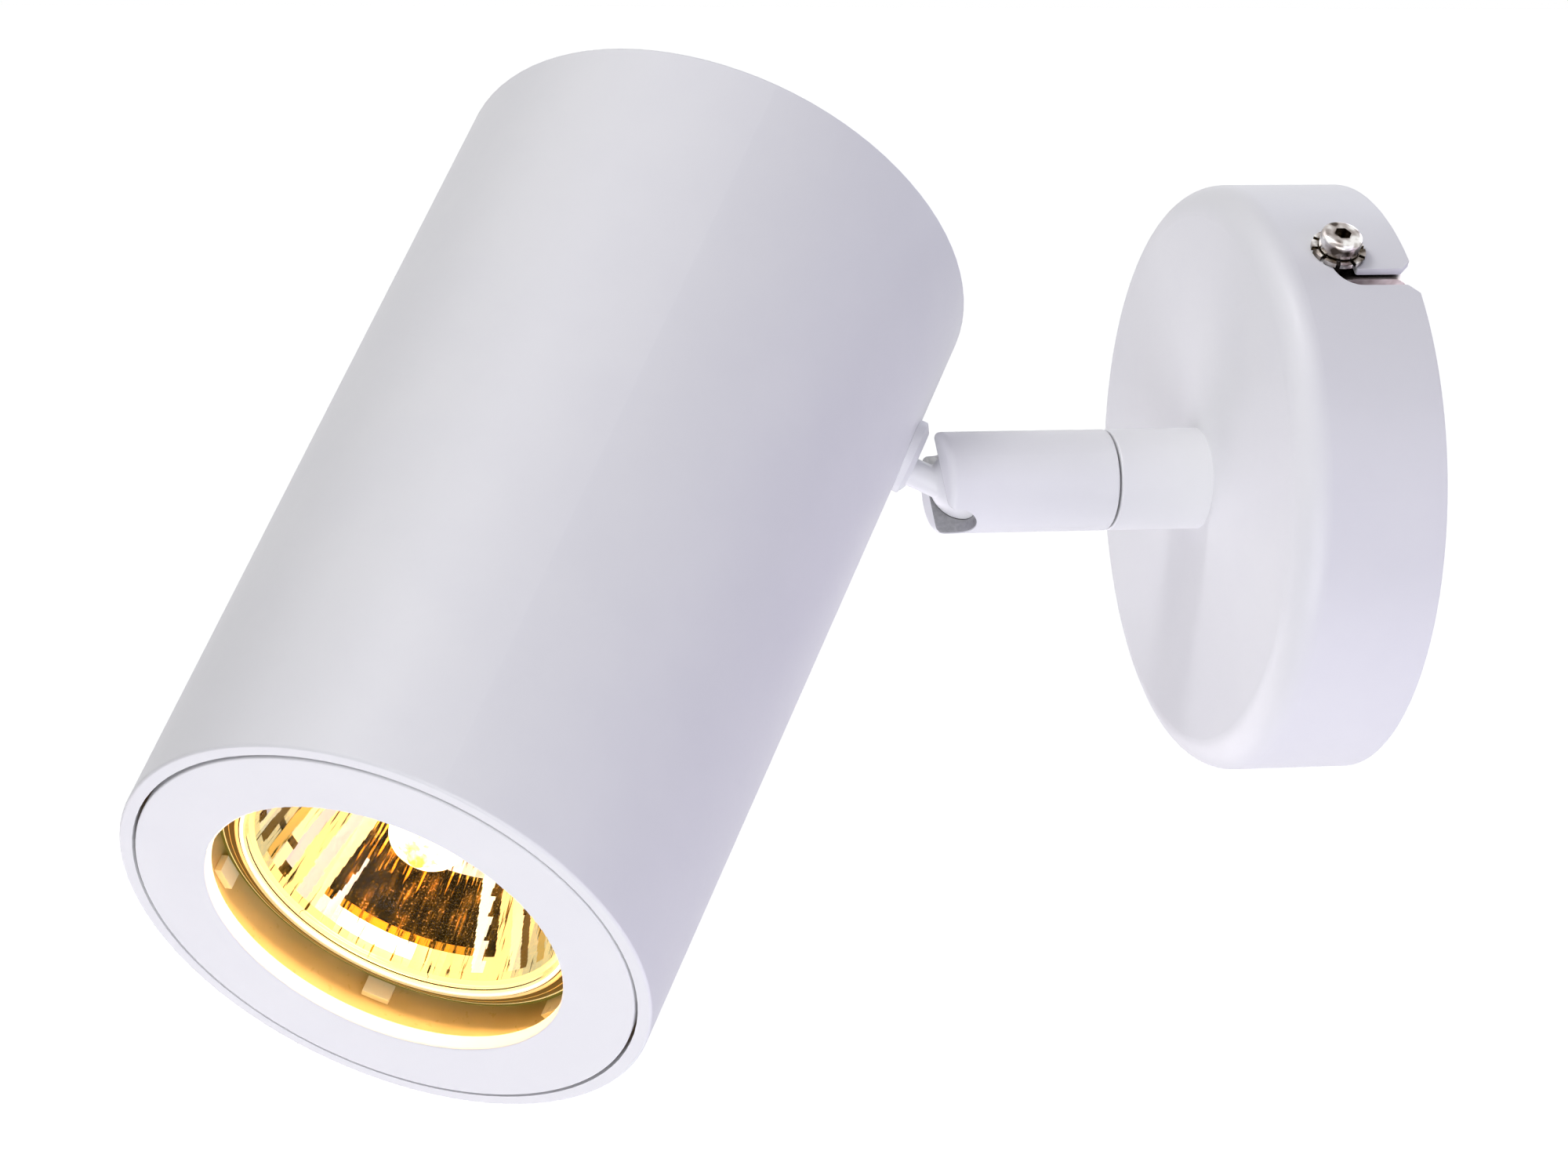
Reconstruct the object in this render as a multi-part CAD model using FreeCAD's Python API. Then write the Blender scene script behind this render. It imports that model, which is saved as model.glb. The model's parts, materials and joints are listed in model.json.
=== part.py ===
import FreeCAD, Part
import math
import os

# A wall spotlight in millimetres: canopy, stem, turning barrel, ball neck and lamp head.
# The origin is the centre of the canopy's back on the wall, with +Y into the wall and +Z up.
# Lengths along the arm are measured outwards from the wall.

Vector = FreeCAD.Vector
full_turn = 360.0
quarter_turn = 90.0

# Shared fits
overrun = 1.0
fit_gap = 0.05
running_gap = 0.06
seat_gap = 0.3
edge_break = 0.3
smallest_edge = 0.001

# Canopy
canopy_radius = 38.55
canopy_depth = 19.7
canopy_wall = 1.0
canopy_edge_radius = 4.05
bayonet_screw_angle = 53.6
bayonet_screw_depth = 9.3
bayonet_slot_width = 3.3
bayonet_entry_width = 2.8
bayonet_entry_offset = 4.8
bayonet_flare = 1.4
bayonet_corner = 3.6
bayonet_count = 2

# Bracket behind the canopy
bracket_sheet = 1.5
bracket_radius = 33.0
bracket_half_height = 22.0
bracket_hole_radius = 8.0
bracket_bend_radius = 1.0
tab_width = 8.0
tab_height = 15.0
tab_clearance = 0.45
wall_slot_spacing = 48.0
wall_slot_radius = 2.25
wall_slot_length = 10.0
earth_place_x = 0.0
earth_place_z = 17.0

# Canopy side screws and toothed washers
side_screw_radius = 1.5
side_screw_head_radius = 2.75
side_screw_head_height = 2.4
side_screw_head_round = 0.7
side_screw_grip = 5.0
hex_key_width = 2.0
hex_key_depth = 1.3
tooth_washer_radius = 3.6
tooth_washer_sheet = 0.6
tooth_depth = 0.8
tooth_count = 10

# Stem
arm_radius = 6.65
stub_length = 12.6
spigot_radius = 4.0
spigot_length = 9.0
cable_way_radius = 2.3
stem_washer_radius = 8.5
stem_washer_sheet = 1.2
stem_nut_flats = 13.0
stem_nut_height = 4.0

# Turning joint between the stem and the barrel
spindle_radius = 3.4
friction_washer_sheet = 0.3
bush_length = 4.0
lock_ring_height = 3.0
lock_ring_notch = 1.2
wave_washer_sheet = 0.5
stop_pin_radius = 0.4
stop_pin_circle = 5.8
stop_pin_reach = 1.2
stop_pin_root = 2.5
stop_groove_width = 1.0
stop_groove_depth = 1.5
stop_land_angle = 10.0

# Barrel and its ball socket
barrel_length = 23.3
barrel_edge_round = 1.0
ball_setback = 4.25
ball_radius = 4.85
socket_gap = 0.1
tilt_slot_width = 6.0
seat_length = 3.0
seat_setback = 2.2
seat_bore_radius = 2.6
disc_spring_count = 5
disc_spring_sheet = 0.4
disc_spring_inner_radius = 2.8
disc_spring_outer_radius = 4.5

# Ball stud and its foot on the tube
neck_radius = 1.9
neck_bore_radius = 1.0
neck_blend = 0.6
neck_offset = 2.1
neck_length = 8.5
foot_radius = 5.0
foot_height = 1.5
foot_rim = 0.8
foot_bevel = 1.2
neck_nut_flats = 7.0
neck_nut_height = 2.8
neck_end_reach = 0.8

# Head tube and rear cap
tube_wall = 1.8
front_reach = 98.1
rear_reach = 19.4
tube_edge_round = 0.4
cap_sheet = 2.0
cap_inset = 0.4
cap_gap = 0.15
cap_skirt_length = 6.0
cap_skirt_wall = 1.5

# Front ring, its sleeve and springs
ring_gap = 0.4
ring_sheet = 2.0
ring_proud = 0.1
ring_lip = 2.75
ring_edge_round = 0.25
sleeve_gap = 0.85
sleeve_wall = 1.0
spring_space = 6.0
sleeve_length = 11.0
tab_stop_count = 6
tab_stop_first_angle = 55.5
tab_stop_width = 3.6
tab_stop_length = 2.4
tab_stop_height = 1.1
tab_stop_depth = 5.6
leaf_count = 3
leaf_first_angle = 90.0
leaf_width = 6.0
leaf_sheet = 0.4
leaf_start_depth = 4.0
leaf_crown_depth = 16.0
leaf_crown_gap = 0.25
leaf_foot_length = 2.4

# Lamp
lamp_radius = 25.35
lamp_rim_depth = 8.2
lamp_face_depth = 6.9
lamp_bevel_width = 3.35
lamp_rim_band = 3.4
lamp_neck_radius = 11.5
lamp_bowl_length = 33.0
bowl_bulge = 1.6
bowl_round = 60.0
reflector_neck_wall = 3.5
facet_columns = 24
facet_rows = 8
glass_ledge = 0.8
glass_surround = 0.8
glass_sheet = 1.4
capsule_radius = 5.0
capsule_tip_gap = 1.9
capsule_wall = 0.8
capsule_tip_radius = 1.4
capsule_tip_length = 1.2
filament_radius = 0.3
filament_spread = 1.2
filament_bend = 0.7
filament_tip_gap = 5.0
lamp_base_radius = 10.5
lamp_base_length = 14.0
base_plug_length = 4.0
pin_circle_radius = 5.0
pin_radius = 1.5
pin_shank_length = 4.0
pin_head_radius = 2.5
pin_head_length = 2.6
pin_root = 3.0

# Lamp holder and the bracket that carries it
holder_radius = 14.0
holder_width = 19.0
holder_length = 17.6
keyhole_gap = 0.25
keyhole_lip = 3.0
keyhole_cavity = 5.5
unlock_angle = 25.0
contact_sheet = 0.5
contact_length = 3.0
contact_gap = 0.1
holder_strip_width = 16.0
holder_strip_sheet = 1.5
strip_tail = 8.0
strip_bend_radius = 1.5
strip_end_margin = 2.0
strip_lead_hole_radius = 5.0
holder_screw_radius = 1.5
holder_screw_head_radius = 2.8
holder_screw_head_height = 2.0
holder_screw_length = 8.0
holder_screw_spread = 9.5

# Supply terminals and leads
block_width = 26.0
block_depth = 13.0
block_height = 11.0
block_place_z = -15.5
block_edge_round = 1.0
terminal_pitch = 8.0
terminal_count = 3
terminal_hole_radius = 2.4
terminal_screw_radius = 2.2
terminal_screw_height = 4.0
terminal_screw_sink = 0.8
block_screw_radius = 1.0
block_screw_head_radius = 1.6
block_screw_head_height = 1.4
block_screw_sink = 3.0
block_screw_side = 4.0
block_screw_setback = 4.0
driver_slot_width = 0.8
driver_slot_depth = 0.9
earth_screw_radius = 2.0
earth_head_radius = 3.6
earth_head_height = 2.2
earth_washer_radius = 4.4
earth_washer_sheet = 0.8
supply_lead_radius = 0.8
supply_lead_circle = 1.15
supply_lead_first_angle = 150.0
supply_lead_height = 6.5
supply_lead_entry = 4.5
supply_lead_bend = 2.2
head_lead_radius = 0.4
head_lead_circle = 0.52
head_lead_bend = 3.0
head_lead_drop = 10.0
head_lead_spread = 3.6
holder_lead_hole_depth = 8.5

# Pose of the head in the photographed position
barrel_angle = 36.6
tilt_angle = 30.5

# Places worked out from the sizes above
stub_end = canopy_depth + stub_length
barrel_start = stub_end + friction_washer_sheet
barrel_end = barrel_start + barrel_length
ball_place = barrel_end - ball_setback
socket_radius = ball_radius + socket_gap
bush_end = barrel_start + bush_length
lock_ring_start = bush_end + wave_washer_sheet
spindle_end = lock_ring_start + lock_ring_height
seat_end = ball_place - seat_setback
seat_start = seat_end - seat_length
canopy_inner_radius = canopy_radius - canopy_wall
canopy_inner_depth = canopy_depth - canopy_wall
tab_face = canopy_inner_radius - tab_clearance

# Sizes that follow outwards from the lamp
lamp_face_radius = lamp_radius - lamp_bevel_width
glass_radius = lamp_face_radius - glass_surround
reflector_mouth_radius = glass_radius - glass_ledge
reflector_throat_radius = lamp_neck_radius - reflector_neck_wall
sleeve_radius = lamp_radius + sleeve_gap
opening_radius = sleeve_radius - ring_lip
sleeve_outer_radius = sleeve_radius + sleeve_wall
tube_inner_radius = sleeve_outer_radius + spring_space
tube_radius = tube_inner_radius + tube_wall
ring_radius = tube_inner_radius - ring_gap

# Places in the head's frame: origin in the ball, neck along -Y, lamp front towards -Z
tube_offset = neck_length + tube_radius
ring_back = ring_sheet - ring_proud
lamp_base_end = lamp_rim_depth + lamp_bowl_length + lamp_base_length
holder_face = lamp_base_end + seat_gap
holder_back = holder_face + holder_length
strip_drop = math.sqrt(tube_inner_radius ** 2 - (holder_strip_width / 2) ** 2)
strip_face = tube_offset - strip_drop
strip_back = strip_face + holder_strip_sheet
neck_end = strip_back + neck_nut_height + neck_end_reach

nodes = {}


def in_section(across, up):
    return Vector(across, 0, up)


def in_plan(across, along):
    return Vector(across, along, 0)


def in_side(along, up):
    return Vector(0, along, up)


def outline(corners, place):
    """Closed face through corners (a, b, radius), each corner rounded by its radius."""
    points = [place(a, b) for a, b, _ in corners]
    starts, ends, arcs = [], [], []
    for index, (_, _, radius) in enumerate(corners):
        corner = points[index]
        back = (points[index - 1] - corner).normalize()
        ahead = (points[(index + 1) % len(points)] - corner).normalize()
        half_angle = back.getAngle(ahead) / 2
        reach = radius / math.tan(half_angle)
        starts.append(corner + back * reach)
        ends.append(corner + ahead * reach)
        if radius > 0:
            inward = (back + ahead).normalize()
            middle = corner + inward * (radius / math.sin(half_angle) - radius)
            arcs.append(Part.Arc(starts[-1], middle, ends[-1]).toShape())
        else:
            arcs.append(None)
    edges = []
    for index, arc in enumerate(arcs):
        if arc:
            edges.append(arc)
        following = starts[(index + 1) % len(starts)]
        if (following - ends[index]).Length > smallest_edge:
            edges.append(Part.makeLine(ends[index], following))
    return Part.Face(Part.Wire(edges))


def revolved(corners):
    face = outline(corners, in_section)
    return face.revolve(Vector(0, 0, 0), Vector(0, 0, 1), full_turn)


def cylinder(radius, low, high):
    return Part.makeCylinder(radius, high - low, Vector(0, 0, low))


def ring(outer, inner, low, high):
    return cylinder(outer, low, high).cut(cylinder(inner, low - overrun, high + overrun))


def ring_sector(outer, inner, low, high, first_angle, sweep):
    body = Part.makeCylinder(outer, high - low, Vector(0, 0, low), Vector(0, 0, 1), sweep)
    core = cylinder(inner, low - overrun, high + overrun)
    return turned(body.cut(core), first_angle)


def block(x_low, x_high, y_low, y_high, z_low, z_high):
    size = Vector(x_high - x_low, y_high - y_low, z_high - z_low)
    return Part.makeBox(size.x, size.y, size.z, Vector(x_low, y_low, z_low))


def hexagon(flats, low, high):
    corner_radius = flats / math.sqrt(3)
    corners = [in_plan(corner_radius * math.cos(step * math.pi / 3),
                       corner_radius * math.sin(step * math.pi / 3)) for step in range(6)]
    face = Part.Face(Part.makePolygon(corners + corners[:1]))
    return moved(face.extrude(Vector(0, 0, high - low)), 0, 0, low)


def hex_nut(flats, hole_radius, low, high):
    corner_radius = flats / math.sqrt(3)
    bevel = (corner_radius - flats / 2) / 2
    limits = revolved([(0, low, 0), (flats / 2, low, 0), (corner_radius, low + bevel, 0),
                       (corner_radius, high - bevel, 0), (flats / 2, high, 0), (0, high, 0)])
    nut = hexagon(flats, low, high).common(limits)
    return nut.cut(cylinder(hole_radius, low - overrun, high + overrun))


def turned(shape, angle):
    copy = shape.copy()
    copy.rotate(Vector(0, 0, 0), Vector(0, 0, 1), angle)
    return copy


def moved(shape, x, y, z):
    copy = shape.copy()
    copy.translate(Vector(x, y, z))
    return copy


def spread(shape, count, first_angle=0.0):
    return [turned(shape, first_angle + full_turn * step / count) for step in range(count)]


def along_minus_y(shape):
    """Turn a shape built up along +Z so that it runs along -Y, its Y becoming Z."""
    copy = shape.copy()
    copy.rotate(Vector(0, 0, 0), Vector(1, 0, 0), quarter_turn)
    return copy


def cut_all(shape, tools):
    for tool in tools:
        shape = shape.cut(tool)
    return shape


def lead(points, radius, bend):
    """Round lead along straight runs joined by tangent arcs."""
    edges = []
    start = points[0]
    for index in range(1, len(points) - 1):
        corner = points[index]
        back = (points[index - 1] - corner).normalize()
        ahead = (points[index + 1] - corner).normalize()
        if (back + ahead).Length < smallest_edge:
            continue
        half_angle = back.getAngle(ahead) / 2
        reach = bend / math.tan(half_angle)
        middle = corner + (back + ahead).normalize() * (bend / math.sin(half_angle) - bend)
        edges.append(Part.makeLine(start, corner + back * reach))
        edges.append(Part.Arc(corner + back * reach, middle, corner + ahead * reach).toShape())
        start = corner + ahead * reach
    edges.append(Part.makeLine(start, points[-1]))
    path = Part.Wire(edges)
    direction = points[1] - points[0]
    profile = Part.Wire(Part.makeCircle(radius, points[0], direction))
    return path.makePipeShell([profile], True, False)


def keep_on_wall(name, shapes):
    """Store pieces built in the arm's frame, where +Z runs outwards from the wall."""
    nodes[name] = [along_minus_y(shape) for shape in shapes]


def keep_on_barrel(name, shapes):
    keep_on_wall(name, [turned(shape, barrel_angle) for shape in shapes])


def keep_on_head(name, shapes):
    """Store pieces built in the head's frame, tilted in the slot and turned with the barrel."""
    kept = []
    for shape in shapes:
        copy = shape.copy()
        copy.rotate(Vector(0, 0, 0), Vector(1, 0, 0), -tilt_angle)
        copy.rotate(Vector(0, 0, 0), Vector(0, 1, 0), -barrel_angle)
        kept.append(moved(copy, 0, -ball_place, 0))
    nodes[name] = kept


def on_tube(shape):
    """Move a shape built on the tube's axis, z as depth behind the tube's front, to its place."""
    return moved(shape, 0, -tube_offset, -front_reach)


# Canopy and its bayonet slots

def bayonet_cutter():
    """Outline of one slot seen along its screw, extruded through the canopy's wall."""
    entry_low = -bayonet_entry_offset - bayonet_entry_width / 2
    entry_high = -bayonet_entry_offset + bayonet_entry_width / 2
    inner_edge = bayonet_screw_depth - bayonet_slot_width / 2
    outer_edge = bayonet_screw_depth + bayonet_slot_width / 2
    end = bayonet_slot_width / 2
    face = outline([
        (entry_low - bayonet_flare, -overrun, 0),
        (entry_low - bayonet_flare, 0, 0),
        (entry_low, bayonet_flare, 0),
        (entry_low, outer_edge, bayonet_corner),
        (end, outer_edge, end - fit_gap),
        (end, inner_edge, end - fit_gap),
        (entry_high, inner_edge, edge_break),
        (entry_high, bayonet_flare, edge_break),
        (entry_high + bayonet_flare, 0, 0),
        (entry_high + bayonet_flare, -overrun, 0)], in_side)
    depth = 2 * (canopy_wall + overrun)
    cutter = face.extrude(Vector(depth, 0, 0))
    return moved(cutter, canopy_radius + overrun - depth, 0, 0)


def make_canopy():
    inner_edge_radius = canopy_edge_radius - canopy_wall
    cup = revolved([
        (spigot_radius + fit_gap, canopy_inner_depth, 0),
        (canopy_inner_radius, canopy_inner_depth, inner_edge_radius),
        (canopy_inner_radius, 0, 0),
        (canopy_radius, 0, 0),
        (canopy_radius, canopy_depth, canopy_edge_radius),
        (spigot_radius + fit_gap, canopy_depth, 0)])
    return cut_all(cup, spread(bayonet_cutter(), bayonet_count, bayonet_screw_angle))


def side_axis(shape):
    """Lay a shape built up along +Z onto the radial axis of the side screw."""
    copy = shape.copy()
    copy.rotate(Vector(0, 0, 0), Vector(0, 1, 0), quarter_turn)
    return moved(copy, 0, 0, bayonet_screw_depth)


def make_bracket():
    bend = bracket_bend_radius + bracket_sheet
    strap = outline([
        (-tab_face, 0, bend), (tab_face, 0, bend), (tab_face, tab_height, 0),
        (tab_face - bracket_sheet, tab_height, 0),
        (tab_face - bracket_sheet, bracket_sheet, bracket_bend_radius),
        (bracket_sheet - tab_face, bracket_sheet, bracket_bend_radius),
        (bracket_sheet - tab_face, tab_height, 0),
        (-tab_face, tab_height, 0)], in_section).extrude(Vector(0, tab_width, 0))
    strap = turned(moved(strap, 0, -tab_width / 2, 0), bayonet_screw_angle)
    disc = cylinder(bracket_radius, 0, bracket_sheet)
    band = block(-bracket_radius, bracket_radius, -bracket_half_height, bracket_half_height,
                 -overrun, bracket_sheet + overrun)
    plate = disc.common(band).fuse(strap).removeSplitter()
    holes = [cylinder(bracket_hole_radius, -overrun, bracket_sheet + overrun)]
    for side in (-1, 1):
        centre = side * wall_slot_spacing / 2
        run = wall_slot_length / 2 - wall_slot_radius
        for end in (-run, run):
            hole = cylinder(wall_slot_radius, -overrun, bracket_sheet + overrun)
            holes.append(moved(hole, centre + end, 0, 0))
        holes.append(block(centre - run, centre + run, -wall_slot_radius, wall_slot_radius,
                           -overrun, bracket_sheet + overrun))
    earth_hole = cylinder(earth_screw_radius, -overrun, bracket_sheet + overrun)
    holes.append(moved(earth_hole, earth_place_x, earth_place_z, 0))
    holes += at_block_screws(cylinder(block_screw_radius, -overrun, bracket_sheet + overrun))
    tapped = side_axis(cylinder(side_screw_radius, tab_face - bracket_sheet - overrun,
                                tab_face + overrun))
    holes += spread(tapped, bayonet_count, bayonet_screw_angle)
    return cut_all(plate, holes)


def make_side_screw():
    """Socket screw: its head rests on the toothed washer, its end is tapped into the tab."""
    seat = canopy_radius + tooth_washer_sheet
    top = seat + side_screw_head_height
    head = revolved([(0, seat, 0), (side_screw_head_radius, seat, edge_break),
                     (side_screw_head_radius, top, side_screw_head_round), (0, top, 0)])
    head = head.cut(hexagon(hex_key_width, top - hex_key_depth, top + overrun))
    shank = cylinder(side_screw_radius, tab_face - side_screw_grip, seat + fit_gap)
    return side_axis(head.fuse(shank).removeSplitter())


def make_tooth_washer():
    low = canopy_radius
    high = canopy_radius + tooth_washer_sheet
    washer = ring(tooth_washer_radius, side_screw_radius + fit_gap, low, high)
    gap_width = math.pi * tooth_washer_radius / tooth_count / 2
    gap = block(tooth_washer_radius - tooth_depth, tooth_washer_radius + overrun,
                -gap_width / 2, gap_width / 2, low - overrun, high + overrun)
    return side_axis(cut_all(washer, spread(gap, tooth_count)))


# Stem, fixed to the canopy

def make_stem():
    body = revolved([
        (cable_way_radius, canopy_depth - spigot_length, 0),
        (spigot_radius, canopy_depth - spigot_length, edge_break),
        (spigot_radius, canopy_depth, 0),
        (arm_radius, canopy_depth, 0),
        (arm_radius, stub_end, edge_break),
        (spindle_radius, stub_end, 0),
        (spindle_radius, spindle_end, edge_break),
        (cable_way_radius, spindle_end, 0)])
    pin_hole = cylinder(stop_pin_radius, stub_end - stop_pin_root, stub_end + overrun)
    return body.cut(moved(pin_hole, 0, stop_pin_circle, 0))


def make_stem_washer():
    low = canopy_inner_depth - stem_washer_sheet
    return ring(stem_washer_radius, spigot_radius + fit_gap, low, canopy_inner_depth)


def make_stem_nut():
    high = canopy_inner_depth - stem_washer_sheet
    return hex_nut(stem_nut_flats, spigot_radius, high - stem_nut_height, high)


def make_friction_washer():
    outer = stop_pin_circle - stop_groove_width / 2 - fit_gap
    return ring(outer, spindle_radius + fit_gap, stub_end, barrel_start)


def make_stop_pin():
    pin = cylinder(stop_pin_radius, stub_end - stop_pin_root, barrel_start + stop_pin_reach)
    return moved(pin, 0, stop_pin_circle, 0)


def make_wave_washer():
    return ring(disc_spring_outer_radius, spindle_radius + fit_gap, bush_end, lock_ring_start)


def make_lock_ring():
    body = ring(disc_spring_outer_radius, spindle_radius, lock_ring_start, spindle_end)
    notch = block(-socket_radius, socket_radius, -lock_ring_notch / 2, lock_ring_notch / 2,
                  spindle_end - lock_ring_notch, spindle_end + overrun)
    return body.cut(notch.cut(cylinder(spindle_radius, bush_end, spindle_end + 2 * overrun)))


# Barrel, modelled with its tilt slot across Y and then turned to its photographed angle

def make_barrel():
    body = revolved([
        (0, barrel_start, 0), (arm_radius, barrel_start, edge_break),
        (arm_radius, barrel_end, barrel_edge_round), (0, barrel_end, 0)])
    bore = cylinder(socket_radius, barrel_start - overrun, ball_place)
    socket = Part.makeSphere(socket_radius, Vector(0, 0, ball_place))
    slot_half = tilt_slot_width / 2
    slot_centre = ball_place + neck_offset + slot_half - neck_radius - seat_gap
    slot = block(-slot_half, slot_half, -arm_radius - overrun, arm_radius + overrun,
                 slot_centre, barrel_end + overrun)
    slot_end = Part.makeCylinder(slot_half, 2 * (arm_radius + overrun),
                                 Vector(0, -arm_radius - overrun, slot_centre), Vector(0, 1, 0))
    groove_inner = stop_pin_circle - stop_groove_width / 2
    groove = ring_sector(groove_inner + stop_groove_width, groove_inner,
                         barrel_start - overrun, barrel_start + stop_groove_depth,
                         stop_land_angle / 2 - quarter_turn, full_turn - stop_land_angle)
    return cut_all(body, [bore, socket, slot.fuse(slot_end), groove])


def make_bush():
    return ring(socket_radius, spindle_radius + running_gap, barrel_start, bush_end)


def make_disc_springs():
    """Cone springs stacked by turns between the lock ring and the ball seat."""
    stack_start = spindle_end + fit_gap
    pitch = (seat_start - fit_gap - stack_start) / disc_spring_count
    rise = pitch - disc_spring_sheet
    springs = []
    for step in range(disc_spring_count):
        low = stack_start + pitch * step
        inner_low = low if step % 2 else low + rise
        outer_low = low + rise if step % 2 else low
        springs.append(revolved([
            (disc_spring_inner_radius, inner_low, 0),
            (disc_spring_outer_radius, outer_low, 0),
            (disc_spring_outer_radius, outer_low + disc_spring_sheet, 0),
            (disc_spring_inner_radius, inner_low + disc_spring_sheet, 0)]))
    return springs


def make_seat():
    body = ring(socket_radius - fit_gap, seat_bore_radius, seat_start, seat_end)
    return body.cut(Part.makeSphere(socket_radius, Vector(0, 0, ball_place)))


# Ball stud, foot and nut that join the head to the barrel

def on_neck(shape):
    return moved(along_minus_y(shape), 0, 0, -neck_offset)


def make_ball_stud():
    """Ball and neck in one piece, blended where they meet, with a bore for the leads."""
    body = Part.makeSphere(ball_radius).fuse(on_neck(cylinder(neck_radius, 0, neck_end)))
    wall = next(face for face in body.Faces if isinstance(face.Surface, Part.Cylinder))
    meeting = [edge for edge in wall.Edges if isinstance(edge.Curve, Part.BSplineCurve)]
    bore = on_neck(cylinder(neck_bore_radius, -ball_radius - overrun, neck_end + overrun))
    return body.makeFillet(neck_blend, meeting).cut(bore)


def make_foot():
    """Bevelled round foot with its back hollowed to the tube and its hole off centre."""
    top = neck_length - foot_height
    body = along_minus_y(revolved([
        (0, top, 0), (foot_radius - foot_bevel, top, 0),
        (foot_radius, neck_length - foot_rim, 0),
        (foot_radius, neck_length + overrun, 0), (0, neck_length + overrun, 0)]))
    tube = on_tube(cylinder(tube_radius, 0, front_reach + rear_reach))
    hole = on_neck(cylinder(neck_radius, 0, neck_length + 2 * overrun))
    return cut_all(body, [tube, hole])


def make_neck_washer():
    washer = on_neck(ring(foot_radius, neck_radius, neck_length, strip_face))
    return washer.common(on_tube(cylinder(tube_inner_radius, 0, front_reach + rear_reach)))


def make_neck_nut():
    return on_neck(hex_nut(neck_nut_flats, neck_radius, strip_back, strip_back + neck_nut_height))


# Head tube and rear cap, z measured as depth behind the tube's front edge

def make_head_tube():
    length = front_reach + rear_reach
    body = revolved([
        (tube_inner_radius, 0, 0), (tube_radius, 0, tube_edge_round),
        (tube_radius, length, tube_edge_round), (tube_inner_radius, length, 0)])
    hole = on_neck(cylinder(neck_radius, 0, strip_face + overrun))
    return on_tube(body).cut(hole)


def make_rear_cap():
    back = front_reach + rear_reach - cap_inset
    outer = tube_inner_radius - cap_gap
    inner = outer - cap_skirt_wall
    front = back - cap_sheet - cap_skirt_length
    return on_tube(revolved([
        (0, back, 0), (0, back - cap_sheet, 0), (inner, back - cap_sheet, edge_break),
        (inner, front, 0), (outer, front, edge_break), (outer, back, edge_break)]))


# Front ring, sleeve and leaf springs

def make_front_ring():
    return on_tube(revolved([
        (opening_radius, -ring_proud, ring_edge_round),
        (ring_radius, -ring_proud, ring_edge_round),
        (ring_radius, ring_back, 0), (opening_radius, ring_back, 0)]))


def make_sleeve():
    """Short sleeve with raised stops on its inside, just in front of the lamp's rim."""
    body = ring(sleeve_outer_radius, sleeve_radius, ring_back, ring_back + sleeve_length)
    stop = block(sleeve_radius - tab_stop_height, sleeve_radius + sleeve_wall / 2,
                 -tab_stop_width / 2, tab_stop_width / 2,
                 tab_stop_depth, tab_stop_depth + tab_stop_length)
    for piece in spread(stop, tab_stop_count, tab_stop_first_angle):
        body = body.fuse(piece)
    return on_tube(body.removeSplitter())


def make_leaf():
    """Bowed leaf: a foot flat on the sleeve and a crown that presses on the tube."""
    crown = tube_inner_radius - leaf_crown_gap
    root = sleeve_outer_radius + leaf_sheet
    bow_start = leaf_start_depth + leaf_foot_length
    outer = [in_section(root, bow_start), in_section(crown, leaf_crown_depth),
             in_section(root, 2 * leaf_crown_depth - bow_start)]
    bow = Part.Arc(*outer).toShape()
    centre = bow.Curve.Center
    shrink = (bow.Curve.Radius - leaf_sheet) / bow.Curve.Radius
    inner = [centre + (place - centre) * shrink for place in outer]
    heel = in_section(sleeve_outer_radius, bow_start)
    toe = in_section(sleeve_outer_radius, leaf_start_depth)
    toe_top = in_section(root, leaf_start_depth)
    edges = [
        bow, Part.makeLine(outer[2], inner[2]), Part.Arc(*inner[::-1]).toShape(),
        Part.makeLine(inner[0], heel), Part.makeLine(heel, toe),
        Part.makeLine(toe, toe_top), Part.makeLine(toe_top, outer[0])]
    leaf = Part.Face(Part.Wire(edges)).extrude(Vector(0, leaf_width, 0))
    return moved(leaf, 0, -leaf_width / 2, 0)


# Lamp

def make_facet_core():
    """The reflector's hollow: rows of flat mirror facets on a dish that opens to the front."""
    mouth_depth = lamp_face_depth + glass_sheet
    throat_depth = lamp_rim_depth + lamp_bowl_length
    rows = []
    for row in range(facet_rows + 1):
        share = row / facet_rows
        radius = reflector_throat_radius
        radius += (reflector_mouth_radius - reflector_throat_radius) * math.sqrt(share)
        depth = throat_depth - (throat_depth - mouth_depth) * share
        rows.append([Vector(radius * math.cos(2 * math.pi * column / facet_columns),
                            radius * math.sin(2 * math.pi * column / facet_columns), depth)
                     for column in range(facet_columns)])
    faces = [Part.Face(Part.makePolygon(rows[0] + rows[0][:1])),
             Part.Face(Part.makePolygon(rows[-1] + rows[-1][:1]))]
    for lower, upper in zip(rows, rows[1:]):
        for column in range(facet_columns):
            after = (column + 1) % facet_columns
            corners = [lower[column], lower[after], upper[after], upper[column], lower[column]]
            faces.append(Part.Face(Part.makePolygon(corners)))
    return Part.Solid(Part.Shell(faces))


def make_reflector():
    bowl_end = lamp_rim_depth + lamp_bowl_length
    rim_end = lamp_rim_depth + lamp_rim_band
    middle_radius = (lamp_radius + lamp_neck_radius) / 2 + bowl_bulge
    middle_depth = (rim_end + bowl_end) / 2
    body = revolved([
        (0, lamp_face_depth, 0), (lamp_face_radius, lamp_face_depth, 0),
        (lamp_radius, lamp_rim_depth, edge_break), (lamp_radius, rim_end, edge_break),
        (middle_radius, middle_depth, bowl_round), (lamp_neck_radius, bowl_end, 0),
        (0, bowl_end, 0)])
    seat = cylinder(glass_radius, lamp_face_depth - overrun, lamp_face_depth + glass_sheet)
    return on_tube(cut_all(body, [seat, make_facet_core()]))


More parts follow.
